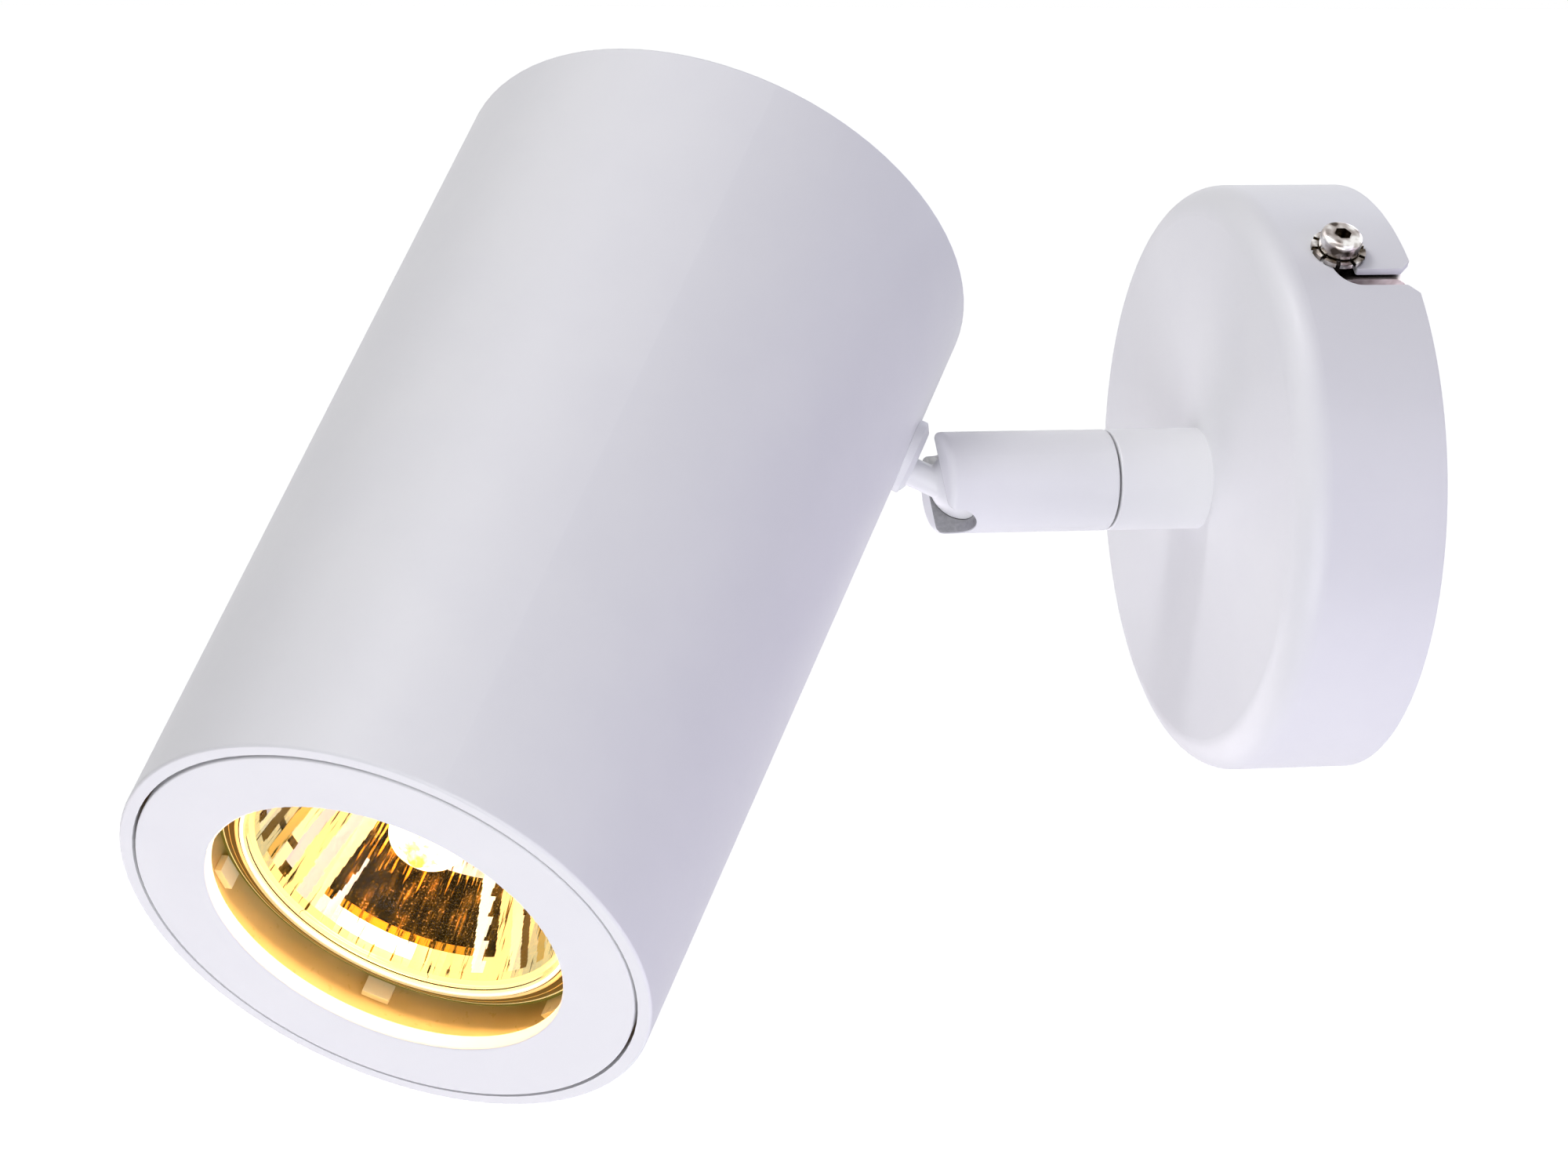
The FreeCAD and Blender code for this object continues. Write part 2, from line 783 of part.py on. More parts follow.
def make_front_glass():
    return on_tube(cylinder(glass_radius - fit_gap, lamp_face_depth,
                            lamp_face_depth + glass_sheet))


def make_capsule():
    """Hollow glass capsule with a round shoulder and the nib where it was sealed."""
    seat = lamp_rim_depth + lamp_bowl_length - base_plug_length
    tip = lamp_face_depth + glass_sheet + capsule_tip_gap
    shoulder = tip + capsule_tip_length
    outer = revolved([
        (0, seat, 0), (capsule_radius, seat, 0),
        (capsule_radius, shoulder, capsule_radius - capsule_tip_radius),
        (capsule_tip_radius, shoulder, 0),
        (capsule_tip_radius, tip, capsule_tip_radius - fit_gap), (0, tip, 0)])
    inner_radius = capsule_radius - capsule_wall
    inner_tip = shoulder + capsule_wall
    inner = revolved([(0, seat - capsule_wall, 0), (inner_radius, seat - capsule_wall, 0),
                      (inner_radius, inner_tip, inner_radius - fit_gap), (0, inner_tip, 0)])
    return on_tube(outer.cut(inner))


def make_filament():
    """Filament wire between its two supports, which stand on the capsule's floor."""
    floor = lamp_rim_depth + lamp_bowl_length - base_plug_length - capsule_wall
    top = lamp_face_depth + glass_sheet + capsule_tip_gap + capsule_wall + filament_tip_gap
    return on_tube(lead([
        Vector(-filament_spread, 0, floor), Vector(-filament_spread, 0, top),
        Vector(filament_spread, 0, top), Vector(filament_spread, 0, floor)],
        filament_radius, filament_bend))


def make_lamp_base():
    bowl_end = lamp_rim_depth + lamp_bowl_length
    plug_radius = reflector_throat_radius * math.cos(math.pi / facet_columns) - fit_gap
    body = revolved([
        (0, bowl_end - base_plug_length, 0), (plug_radius, bowl_end - base_plug_length, 0),
        (plug_radius, bowl_end, 0), (lamp_base_radius, bowl_end, edge_break),
        (lamp_base_radius, lamp_base_end, edge_break), (0, lamp_base_end, 0)])
    sockets = [moved(cylinder(pin_radius, lamp_base_end - pin_root, lamp_base_end + overrun),
                     side * pin_circle_radius, 0, 0) for side in (-1, 1)]
    return on_tube(cut_all(body, sockets))


def make_pins():
    head_start = lamp_base_end + pin_shank_length
    pin = revolved([
        (0, lamp_base_end - pin_root, 0), (pin_radius, lamp_base_end - pin_root, 0),
        (pin_radius, head_start, 0), (pin_head_radius, head_start, edge_break),
        (pin_head_radius, head_start + pin_head_length, edge_break),
        (0, head_start + pin_head_length, 0)])
    return [on_tube(moved(pin, side * pin_circle_radius, 0, 0)) for side in (-1, 1)]


# Lamp holder, its contacts, bracket and screws

def make_keyhole():
    """Entry hole, narrow arc under which the pin's head turns, and the cavity behind it."""
    lip_end = holder_face + keyhole_lip
    cavity_end = lip_end + keyhole_cavity
    wide = pin_head_radius + keyhole_gap
    narrow = pin_radius + keyhole_gap
    front = holder_face - overrun
    entry = turned(moved(cylinder(wide, front, cavity_end), pin_circle_radius, 0, 0),
                   -unlock_angle)
    end = moved(cylinder(narrow, front, lip_end), pin_circle_radius, 0, 0)
    room = moved(cylinder(wide, lip_end, cavity_end), pin_circle_radius, 0, 0)
    arc = ring_sector(pin_circle_radius + narrow, pin_circle_radius - narrow, front, lip_end,
                      -unlock_angle, unlock_angle)
    track = ring_sector(pin_circle_radius + wide, pin_circle_radius - wide, lip_end, cavity_end,
                        -unlock_angle, unlock_angle)
    keyhole = entry
    for piece in (end, room, arc, track):
        keyhole = keyhole.fuse(piece)
    return keyhole


def make_holder():
    body = revolved([(0, holder_face, 0), (holder_radius, holder_face, edge_break),
                     (holder_radius, holder_back, edge_break), (0, holder_back, 0)])
    body = body.common(block(-holder_width / 2, holder_width / 2, -holder_radius, holder_radius,
                             holder_face, holder_back))
    holes = spread(make_keyhole(), 2)
    for side in (-1, 1):
        screw = cylinder(holder_screw_radius, holder_back - holder_screw_length,
                         holder_back + overrun)
        holes.append(moved(screw, 0, side * holder_screw_spread, 0))
        entry = cylinder(head_lead_radius + fit_gap, holder_back - holder_lead_hole_depth,
                         holder_back + overrun)
        holes.append(moved(entry, side * head_lead_spread, 0, 0))
    return on_tube(cut_all(body, holes))


def make_contacts():
    """Arched leaves on the floor of each keyhole, under the heads of the lamp's pins."""
    floor = holder_face + keyhole_lip + keyhole_cavity
    crest = lamp_base_end + pin_shank_length + pin_head_length + contact_gap
    foot = pin_head_radius - contact_sheet / 2
    shoulder = foot - (floor - crest) / 2
    corners = [(-foot, floor, 0), (-shoulder, crest, 0), (shoulder, crest, 0), (foot, floor, 0),
               (foot - contact_sheet, floor, 0),
               (shoulder - contact_sheet / 2, crest + contact_sheet, 0),
               (contact_sheet / 2 - shoulder, crest + contact_sheet, 0),
               (contact_sheet - foot, floor, 0)]
    leaf = outline(corners, in_section).extrude(Vector(0, contact_length, 0))
    leaf = moved(leaf, 0, -contact_length / 2, 0)
    return [on_tube(moved(leaf, side * pin_circle_radius, 0, 0)) for side in (-1, 1)]


def make_holder_bracket():
    tail = front_reach - neck_offset + strip_tail
    end = -holder_radius - strip_end_margin
    plate_back = holder_back + holder_strip_sheet
    corners = [
        (strip_drop, tail, 0),
        (strip_drop, holder_back, strip_bend_radius + holder_strip_sheet),
        (end, holder_back, 0), (end, plate_back, 0),
        (strip_drop - holder_strip_sheet, plate_back, strip_bend_radius),
        (strip_drop - holder_strip_sheet, tail, 0)]
    strip = outline(corners, in_side).extrude(Vector(holder_strip_width, 0, 0))
    strip = moved(strip, -holder_strip_width / 2, 0, 0)
    holes = [cylinder(strip_lead_hole_radius, holder_back - overrun, plate_back + overrun)]
    for side in (-1, 1):
        hole = cylinder(holder_screw_radius, holder_back - overrun, plate_back + overrun)
        holes.append(moved(hole, 0, side * holder_screw_spread, 0))
    strip = on_tube(cut_all(strip, holes))
    return strip.cut(on_neck(cylinder(neck_radius, strip_face - overrun, strip_back + overrun)))


def make_holder_screws():
    head_start = holder_back + holder_strip_sheet
    screw = revolved([
        (0, holder_back - holder_screw_length, 0),
        (holder_screw_radius, holder_back - holder_screw_length, edge_break),
        (holder_screw_radius, head_start, 0), (holder_screw_head_radius, head_start, 0),
        (holder_screw_head_radius, head_start + holder_screw_head_height, edge_break),
        (0, head_start + holder_screw_head_height, 0)])
    return [on_tube(moved(screw, 0, side * holder_screw_spread, 0)) for side in (-1, 1)]


def make_head_leads():
    """Two leads out of the neck's bore, across the tube and into the back of the holder."""
    leads = []
    for side in (-1, 1):
        across = side * head_lead_circle
        drop = -neck_end - head_lead_drop
        leads.append(lead([
            Vector(across, -neck_end + neck_nut_height, -neck_offset),
            Vector(across, drop, -neck_offset),
            Vector(side * head_lead_spread, -tube_offset,
                   holder_back + head_lead_drop - front_reach),
            Vector(side * head_lead_spread, -tube_offset,
                   holder_back - holder_lead_hole_depth + fit_gap - front_reach)],
            head_lead_radius, head_lead_bend))
    return leads


# Supply terminals, leads and earth point inside the canopy

def terminal_places():
    middle = (terminal_count - 1) / 2
    return [(step - middle) * terminal_pitch for step in range(terminal_count)]


def at_block_screws(shape):
    return [moved(shape, side * block_screw_side, block_place_z - block_screw_setback, 0)
            for side in (-1, 1)]


def make_block_screw():
    """Screw whose head is sunk in the terminal block and whose end is tapped into the bracket."""
    top = bracket_sheet + block_height - block_screw_sink
    seat = top - block_screw_head_height
    screw = revolved([(0, 0, 0), (block_screw_radius, 0, 0), (block_screw_radius, seat, 0),
                      (block_screw_head_radius, seat, 0),
                      (block_screw_head_radius, top, edge_break), (0, top, 0)])
    return screw.cut(block(-block_screw_head_radius, block_screw_head_radius,
                           -driver_slot_width / 2, driver_slot_width / 2,
                           top - driver_slot_depth, top + overrun))


def make_terminal_block():
    top = bracket_sheet + block_height
    body = block(-block_width / 2, block_width / 2, block_place_z - block_depth / 2,
                 block_place_z + block_depth / 2, bracket_sheet, top)
    body = body.makeFillet(block_edge_round,
                           [edge for edge in body.Edges if abs(edge.tangentAt(0).z) > fit_gap])
    holes = []
    face = block_place_z + block_depth / 2
    for place in terminal_places():
        screw_hole = cylinder(terminal_hole_radius, top - terminal_screw_height, top + overrun)
        holes.append(moved(screw_hole, place, block_place_z, 0))
        holes.append(Part.makeCylinder(supply_lead_radius + fit_gap, supply_lead_entry + overrun,
                                       Vector(place, face - supply_lead_entry,
                                              supply_lead_height), Vector(0, 1, 0)))
    seat = top - block_screw_sink - block_screw_head_height
    holes += at_block_screws(cylinder(block_screw_radius + fit_gap, bracket_sheet - overrun, top))
    holes += at_block_screws(cylinder(block_screw_head_radius + fit_gap, seat, top + overrun))
    return cut_all(body, holes)


def make_terminal_screws():
    top = bracket_sheet + block_height - terminal_screw_sink
    low = bracket_sheet + block_height - terminal_screw_height
    screw = cylinder(terminal_screw_radius, low, top)
    screw = screw.cut(block(-terminal_screw_radius, terminal_screw_radius,
                            -driver_slot_width / 2, driver_slot_width / 2,
                            top - driver_slot_depth, top + overrun))
    return [moved(screw, place, block_place_z, 0) for place in terminal_places()]


def make_supply_leads():
    """Leads along the stem's bore, bent across behind its nut to the terminals."""
    leads = []
    face = block_place_z + block_depth / 2
    for step, place in enumerate(terminal_places()):
        angle = math.radians(supply_lead_first_angle + full_turn * step / terminal_count)
        across = supply_lead_circle * math.cos(angle)
        up = supply_lead_circle * math.sin(angle)
        leads.append(lead([
            Vector(across, up, spindle_end), Vector(across, up, supply_lead_height),
            Vector(place, face + supply_lead_bend, supply_lead_height),
            Vector(place, face - supply_lead_entry + fit_gap, supply_lead_height)],
            supply_lead_radius, supply_lead_bend))
    return leads


def make_earth_washer():
    washer = ring(earth_washer_radius, earth_screw_radius + fit_gap,
                  bracket_sheet, bracket_sheet + earth_washer_sheet)
    return moved(washer, earth_place_x, earth_place_z, 0)


def make_earth_screw():
    seat = bracket_sheet + earth_washer_sheet
    top = seat + earth_head_height
    screw = revolved([(0, 0, 0), (earth_screw_radius, 0, 0), (earth_screw_radius, seat, 0),
                      (earth_head_radius, seat, 0), (earth_head_radius, top, edge_break),
                      (0, top, 0)])
    slot = block(-earth_head_radius, earth_head_radius, -driver_slot_width / 2,
                 driver_slot_width / 2, top - driver_slot_depth, top + overrun)
    return moved(screw.cut(slot), earth_place_x, earth_place_z, 0)


keep_on_wall("canopy", [make_canopy()])
keep_on_wall("mounting_bracket", [make_bracket()])
keep_on_wall("canopy_screws", spread(make_side_screw(), bayonet_count, bayonet_screw_angle))
keep_on_wall("lock_washers", spread(make_tooth_washer(), bayonet_count, bayonet_screw_angle))
keep_on_wall("stem", [make_stem()])
keep_on_wall("stem_washer", [make_stem_washer()])
keep_on_wall("stem_nut", [make_stem_nut()])
keep_on_wall("friction_washer", [make_friction_washer()])
keep_on_wall("stop_pin", [make_stop_pin()])
keep_on_wall("wave_washer", [make_wave_washer()])
keep_on_wall("lock_ring", [make_lock_ring()])
keep_on_wall("terminal_block", [make_terminal_block()])
keep_on_wall("block_screws", at_block_screws(make_block_screw()))
keep_on_wall("terminal_screws", make_terminal_screws())
keep_on_wall("supply_leads", make_supply_leads())
keep_on_wall("earth_washer", [make_earth_washer()])
keep_on_wall("earth_screw", [make_earth_screw()])

keep_on_barrel("swivel_barrel", [make_barrel()])
keep_on_barrel("turn_bush", [make_bush()])
keep_on_barrel("disc_springs", make_disc_springs())
keep_on_barrel("ball_seat", [make_seat()])

keep_on_head("ball_stud", [make_ball_stud()])
keep_on_head("neck_foot", [make_foot()])
keep_on_head("neck_washer", [make_neck_washer()])
keep_on_head("neck_nut", [make_neck_nut()])
keep_on_head("head_tube", [make_head_tube()])
keep_on_head("rear_cap", [make_rear_cap()])
keep_on_head("lamp_holder", [make_holder()])
keep_on_head("holder_contacts", make_contacts())
keep_on_head("holder_bracket", [make_holder_bracket()])
keep_on_head("holder_screws", make_holder_screws())
keep_on_head("head_leads", make_head_leads())

keep_on_head("front_ring", [make_front_ring()])
keep_on_head("ring_sleeve", [make_sleeve()])
keep_on_head("leaf_springs", [on_tube(leaf) for leaf in spread(make_leaf(), leaf_count,
                                                              leaf_first_angle)])

keep_on_head("lamp_reflector", [make_reflector()])
keep_on_head("lamp_front_glass", [make_front_glass()])
keep_on_head("lamp_capsule", [make_capsule()])
keep_on_head("lamp_filament", [make_filament()])
keep_on_head("lamp_base", [make_lamp_base()])
keep_on_head("lamp_pins", make_pins())

os.makedirs("parts", exist_ok=True)
for name, solids in nodes.items():
    shape = solids[0] if len(solids) == 1 else Part.makeCompound(solids)
    shape.exportStep(f"parts/{name}.step")
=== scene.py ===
import json
import math
import random
from bisect import bisect

import bpy
from mathutils import Matrix, Vector

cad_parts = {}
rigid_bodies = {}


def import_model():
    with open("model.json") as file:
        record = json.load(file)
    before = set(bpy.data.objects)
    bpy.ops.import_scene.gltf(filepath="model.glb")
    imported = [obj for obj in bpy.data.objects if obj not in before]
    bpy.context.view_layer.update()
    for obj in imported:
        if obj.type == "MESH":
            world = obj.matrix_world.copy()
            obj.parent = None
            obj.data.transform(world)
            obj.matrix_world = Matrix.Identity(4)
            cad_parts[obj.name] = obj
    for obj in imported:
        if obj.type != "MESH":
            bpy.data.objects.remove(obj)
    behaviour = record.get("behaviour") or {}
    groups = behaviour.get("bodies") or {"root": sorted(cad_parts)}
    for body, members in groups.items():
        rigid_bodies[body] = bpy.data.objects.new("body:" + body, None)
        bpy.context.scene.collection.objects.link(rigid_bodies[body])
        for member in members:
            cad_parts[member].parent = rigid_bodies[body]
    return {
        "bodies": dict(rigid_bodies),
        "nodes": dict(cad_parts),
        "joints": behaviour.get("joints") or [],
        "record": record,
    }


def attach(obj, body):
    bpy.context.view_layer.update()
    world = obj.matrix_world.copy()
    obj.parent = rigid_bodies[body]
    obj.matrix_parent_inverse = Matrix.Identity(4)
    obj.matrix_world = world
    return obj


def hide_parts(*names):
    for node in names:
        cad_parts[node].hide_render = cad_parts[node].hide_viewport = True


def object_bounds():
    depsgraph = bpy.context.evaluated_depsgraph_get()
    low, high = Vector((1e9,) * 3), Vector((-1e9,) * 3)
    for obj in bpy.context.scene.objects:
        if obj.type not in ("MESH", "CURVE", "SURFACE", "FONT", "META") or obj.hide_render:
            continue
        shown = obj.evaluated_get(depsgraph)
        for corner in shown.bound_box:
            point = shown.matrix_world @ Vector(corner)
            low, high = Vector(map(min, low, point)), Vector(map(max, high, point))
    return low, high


# Looks of a white wall spotlight with a lit reflector lamp. Lengths are in metres, apart from the
# lamp's, which are in millimetres.

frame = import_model()
cad_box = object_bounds()
nodes = frame["nodes"]
mm = 0.001
full_turn = 360.0
half_turn = 180.0

# Camera, at the photograph's viewing angle
camera_place = Vector((833.728, -336.119, 76.538)) * mm
camera_right = Vector((0.29662, 0.95496, 0.00817))
camera_up = Vector((-0.10014, 0.02259, 0.99472))
camera_back = Vector((0.94973, -0.29587, 0.10233))
image_width = 2000
focal_pixels = 8642.089
sensor_width = 36.0

# Floor and world
floor_drop = 0.4
floor_size = 60.0
floor_shadow_reach = 0.5
floor_white_reach = 1.6
floor_near_glow = 0.45
floor_roughness = 0.9
floor_greys = ((0.86, 0.86, 0.86), (0.9, 0.9, 0.9))
pure_white = (1.0, 1.0, 1.0, 1.0)
world_colour = (0.6, 0.6, 1.0)
world_strength = 0.03

# Soft boxes: name, direction as parts to the right, up and back of the camera's view, distance from
# the object's middle and side, power in watts, and colour
low_box = (0.5, 0.4)
high_box = (0.8, 0.6)
key_box = (0.8, 0.16)
softboxes = [
    ("box_low_front", (0.0, -0.574, 0.819), *low_box, 1.49, (0.97, 0.98, 1.0)),
    ("box_low_right", (0.819, -0.574, 0.0), *low_box, 0.58, (0.81, 0.73, 1.0)),
    ("box_low_rear", (-0.579, -0.574, -0.579), *low_box, 1.18, (0.98, 0.92, 1.0)),
    ("box_front_right", (0.707, 0.0, 0.707), *high_box, 0.91, (0.71, 0.64, 1.0)),
    ("box_rear_right", (0.612, 0.5, -0.612), *high_box, 2.26, (0.83, 0.87, 1.0)),
    ("box_front_left", (-0.612, 0.5, 0.612), *high_box, 0.42, (1.0, 0.95, 0.86)),
    ("box_top_front", (0.0, 0.866, 0.5), *high_box, 1.7, (0.98, 0.97, 1.0)),
    ("box_top_left", (-0.5, 0.866, 0.0), *high_box, 1.3, (0.97, 0.97, 1.0)),
    ("box_key", (-0.349, 0.82, 0.459), *key_box, 1.5, (0.98, 0.98, 1.0)),
]

# Noise of the materials: the size of its features and its detail
floor_patches = (0.4, 2.0)
coat_patches = (12 * mm, 3.0)
coat_sheen = (0.9 * mm, 2.0)
coat_peel = (0.7 * mm, 2.0)
canopy_shade_patches = (2 * mm, 3.0)
metal_patches = (3 * mm, 3.0)
metal_grain = (0.5 * mm, 3.0)
plating_patches = (1.6 * mm, 1.0)
plating_sheen = (0.5 * mm, 2.0)
recess_shade_grain = (0.3 * mm, 2.0)
plastic_patches = (5 * mm, 2.0)
plastic_grain = (0.4 * mm, 2.0)
glass_haze = (4 * mm, 2.0)
mirror_grain = (0.6 * mm, 3.0)
wire_patches = (1 * mm, 2.0)
capsule_patches = (1.2 * mm, 3.0)

# The middle of a noise's range, over which a value and a colour change
value_range = (0.3, 0.7)
colour_range = (0.35, 0.65)

# Powder coat, painted shade inside the canopy, the bare metal under the coat, and the lamp's warm light
# painted on the sleeve and its stops
coat_white = ((0.812, 0.812, 0.827), (0.828, 0.828, 0.838))
coat_roughness = (0.37, 0.47)
coat_peel_strength = 0.5
canopy_shade_tones = ((0.045, 0.040, 0.036), (0.075, 0.068, 0.062))
bare_tones = ((0.37, 0.37, 0.375), (0.46, 0.46, 0.465))
bare_metallic = 0.6
sleeve_lamplight_tones = ((0.70, 0.50, 0.19), (0.78, 0.58, 0.26))
stop_lamplight_tones = ((0.88, 0.78, 0.50), (0.92, 0.83, 0.58))
sleeve_roughness = (0.27, 0.33)

# Barrel: bare metal lies within half the tilt slot's width and the radius where the paint starts, and
# is gone at this factor of both
slot_half_width = 3.02 * mm
coat_inner_radius = 6.45 * mm
bare_edge = 1.01

# Canopy: the radius that its painted shade fills, the distance from the wall where it ends, and the
# factors of them over which its edges fade
canopy_shade_radius = 37.5 * mm
canopy_shade_depth = 15.5 * mm
canopy_shade_radius_edge = 1.002
canopy_shade_depth_edge = 0.99

# Sleeve: radius just off the foot of its stops, radius of its inner wall, and the factors of that
# one between which the white coat starts
stop_foot_radius = 26.05 * mm
sleeve_inner_radius = 26.15 * mm
sleeve_white_start = 1.01
sleeve_white_full = 1.02

# Metals and plastics: dark tone, light tone and roughness
metals = {
    "nickel_plate": ((0.62, 0.58, 0.50), (0.78, 0.75, 0.68), 0.2),
    "spring_steel": ((0.40, 0.40, 0.41), (0.55, 0.55, 0.56), 0.3),
    "brass_parts": ((0.62, 0.45, 0.18), (0.80, 0.62, 0.30), 0.28),
    "lamp_metal": ((0.60, 0.58, 0.52), (0.74, 0.72, 0.66), 0.3),
}
plastics = {
    "slide_plastic": ((0.03, 0.03, 0.035), (0.06, 0.06, 0.065), 0.5),
    "terminal_plastic": ((0.70, 0.70, 0.67), (0.78, 0.78, 0.75), 0.4),
    "lead_plastic": ((0.60, 0.60, 0.57), (0.68, 0.68, 0.66), 0.35),
    "white_ceramic": ((0.72, 0.70, 0.65), (0.80, 0.79, 0.75), 0.45),
}
fine_grain_height = 0.004 * mm
plastic_grain_height = 0.006 * mm
grain_strength = 0.6
metal_smoother = 0.07
metal_rougher = 0.1
plastic_variation = 0.06

# Plated pieces with painted shade in their recesses: zones over the noise, tone of the shade, reach of a
# recess, roughness
# On the polished nickel, the darker and brighter zones are painted reflections
nickel_reflection_zones = [
    (0.36, (0.07, 0.055, 0.045)), (0.44, (0.30, 0.26, 0.24)), (0.56, (0.50, 0.46, 0.44)),
    (0.68, (0.88, 0.86, 0.84))]
nickel_recess_shade = (0.03, 0.022, 0.011)
nickel_recess = 1.5 * mm
nickel_roughness = 0.19
zinc_zones = [(0.35, (0.46, 0.39, 0.36)), (0.5, (0.58, 0.51, 0.48)), (0.65, (0.68, 0.62, 0.58))]
zinc_recess_shade = (0.012, 0.009, 0.008)
zinc_recess = 4 * mm
zinc_roughness = 0.38
recess_shade_range = (0.4, 0.6)
recess_shade_lightening = 4
recess_range = (0.45, 0.85)
plating_variation = 0.05

# Lamp glass, wire and capsule
glass_index = 1.04
glass_tint = (1.0, 0.98, 0.94, 1.0)
glass_roughness = (0.02, 0.06)
wire_colour = (1.0, 0.9, 0.7, 1.0)
wire_glow = (8.0, 12.0)
hot_roughness = 0.3
capsule_tones = [(0.0, (0.95, 0.48, 0.05)), (0.25, (1.5, 1.1, 0.35)), (0.5, (2.4, 2.1, 1.4))]
capsule_raggedness = 0.25
capsule_glow = 1.0

# Painted reflection and glow in the bowl's mirror: noise scales round it and along its depth with their
# detail, the ranges and tones that they run over, and how many millimetres of depth make one unit of its
# coordinates
depth_unit = 10
streak_noise = (230.0, 1.4, 3.0)
patch_noise = (48.0, 2.2, 2.0)
speck_noise = (420.0, 36.0, 1.0)
patch_range = (0.32, 0.68)
speck_range = (0.58, 0.72)
field_range = (0.0, 2.0)
streak_range = (0.92, 1.06)
field_tones = [
    (0.35, (0.030, 0.016, 0.002)), (0.55, (0.075, 0.040, 0.005)), (0.7, (0.20, 0.10, 0.010)),
    (0.9, (0.60, 0.30, 0.03))]
speck_tones = [(0.3, (0.22, 0.12, 0.015)), (0.8, (0.8, 0.5, 0.12))]
mirror_gamma = 2.2
mirror_tint = (0.55, 0.38, 0.15, 1.0)
mirror_glow = 0.62
mirror_roughness = (0.14, 0.26)

# Lamp, in millimetres: distances from its axis and depths behind the tube's front edge. In the
# profile of the rim and the outside, a tone belongs to the stretch that ends at its entry.
lamp_joint_depth = 55.2
capsule_tip_depth = 10.2
capsule_fade = 4.0
throat_radius = 8.0
throat_depth = 41.2
mouth_radius = 20.4
mouth_depth = 8.3
bowl_columns = 720
facet_columns = 60
facet_rows = 20
cells_per_facet = 3
facet_height = (throat_depth - mouth_depth) / facet_rows
rim_profile = [
    (21.1, 8.3, "straw"), (21.2, 8.2, "straw"), (21.2, 7.6, "cream"), (21.2, 7.4, "brown"),
    (21.4, 6.95, "cream"), (21.85, 6.9, "white"), (22.05, 7.05, "brown"), (22.45, 7.0, "straw"),
    (22.6, 7.1, "gold"), (22.8, 7.3, "brown"), (23.4, 7.4, "bronze"), (23.55, 7.45, "gold"),
    (24.3, 7.75, "bronze"), (24.45, 7.95, "umber"), (24.6, 7.9, "straw"), (25.1, 8.05, "olive"),
    (25.35, 8.5, "umber"), (25.35, 11.3, "olive"),
    (25.1, 11.6, "bronze"), (22.6, 20.5, "bronze"), (19.6, 27.8, "bronze"), (15.6, 35.0, "bronze"),
    (11.5, 41.2, "bronze"), (8.0, 41.2, "bronze")]
# Tones of the bowl's painted glow: painted reflection on its rim and inside, bronze on its outside
painted_glow_tones = {
    "white": (1.05, 1.0, 0.90), "cream": (1.0, 0.94, 0.62), "straw": (0.98, 0.87, 0.45),
    "lavender": (0.72, 0.70, 0.76), "rose": (0.80, 0.68, 0.62), "gold": (0.90, 0.62, 0.16),
    "amber": (0.74, 0.40, 0.035), "bronze": (0.30, 0.17, 0.035), "olive": (0.24, 0.20, 0.03),
    "umber": (0.07, 0.045, 0.006), "brown": (0.14, 0.07, 0.01)}

# Painted reflection in the bowl, by the angle off its lower side in degrees and the depth in millimetres
field_depth = 22.0
field_left = 24.3
field_left_lean = 0.32
field_right = -28.0
field_right_lean = -0.6
slit_side = 18.4
slit_lean = 0.25
slit_low = 9.6
slit_high = 18.8
slit_width = 1.3
slit_widening = 0.34
tooth_height = 2.8
tooth_reach = 2.6
strip_width = 3.8
shade_width = 9.5
amber_depth = 12.7
bright_depth = 11.6
straw_depth = 9.3
rose_depth = 22.0
rose_side = -12.0
glow_depth = 16.5
glow_end_depth = 25.0
glow_share = 0.66
gold_glow = 0.6

# Pale stripes of the painted reflection: their tones, the ones with streaks in them, their widths and a
# row's shift in degrees, the share of cells with a dark patch, and the share of a tooth's height where
# it starts
left_stripes = ("cream", "lavender", "straw", "lavender", "cream", "gold", "straw", "bronze")
right_stripes = ("straw", "cream", "bronze", "straw", "gold", "straw")
streaked_stripes = ("straw", "gold", "bronze")
stripe_widths = (3.5, 7.0)
stripe_jag = 1.1
patch_share = 0.12
patch_start = 0.45
stripe_seed = 11

# Share of dark streaks in the bowl's painted reflection
streak_share = {
    "mouth": 0.2, "shade": 0.8, "bright": 0.1, "amber": 0.35, "rose": 0.2, "patch": 0.5, "stripe": 0.25}

# Light that the bowl gives: its depth and size in millimetres, its power in watts and its colour
lamp_light_depth = 12.0
lamp_light_size = 24.0
lamp_light_power = 0.039
lamp_light_colour = (1.0, 0.66, 0.30)


def joint(name):
    return next(entry for entry in frame["joints"] if entry["name"] == name)


# Directions of the head: X along the tilt axis, Y across it, Z from the lamp to the rear
head_x = -Vector(joint("head_tilt")["axis"])
head_z = -Vector(joint("ring_pull")["axis"])
head_y = head_z.cross(head_x)
lamp_axis = Vector(joint("lamp_turn")["pos_m"])


# Node helpers

def new_material(name):
    """A new material with its node tree and its shader."""
    material = bpy.data.materials.new(name)
    material.use_nodes = True
    return material, material.node_tree, material.node_tree.nodes["Principled BSDF"]


def add_node(tree, kind, **values):
    """A new node with the given values in its inputs."""
    node = tree.nodes.new(kind)
    for name, value in values.items():
        node.inputs[name.replace("_", " ")].default_value = value
    return node


def noise(tree, grain):
    """Noise over the object's own coordinates, with a size in metres and a detail."""
    size, detail = grain
    place = tree.nodes.new("ShaderNodeTexCoord")
    texture = add_node(tree, "ShaderNodeTexNoise", Scale=1 / size, Detail=detail)
    tree.links.new(place.outputs["Object"], texture.inputs["Vector"])
    return texture.outputs["Fac"]


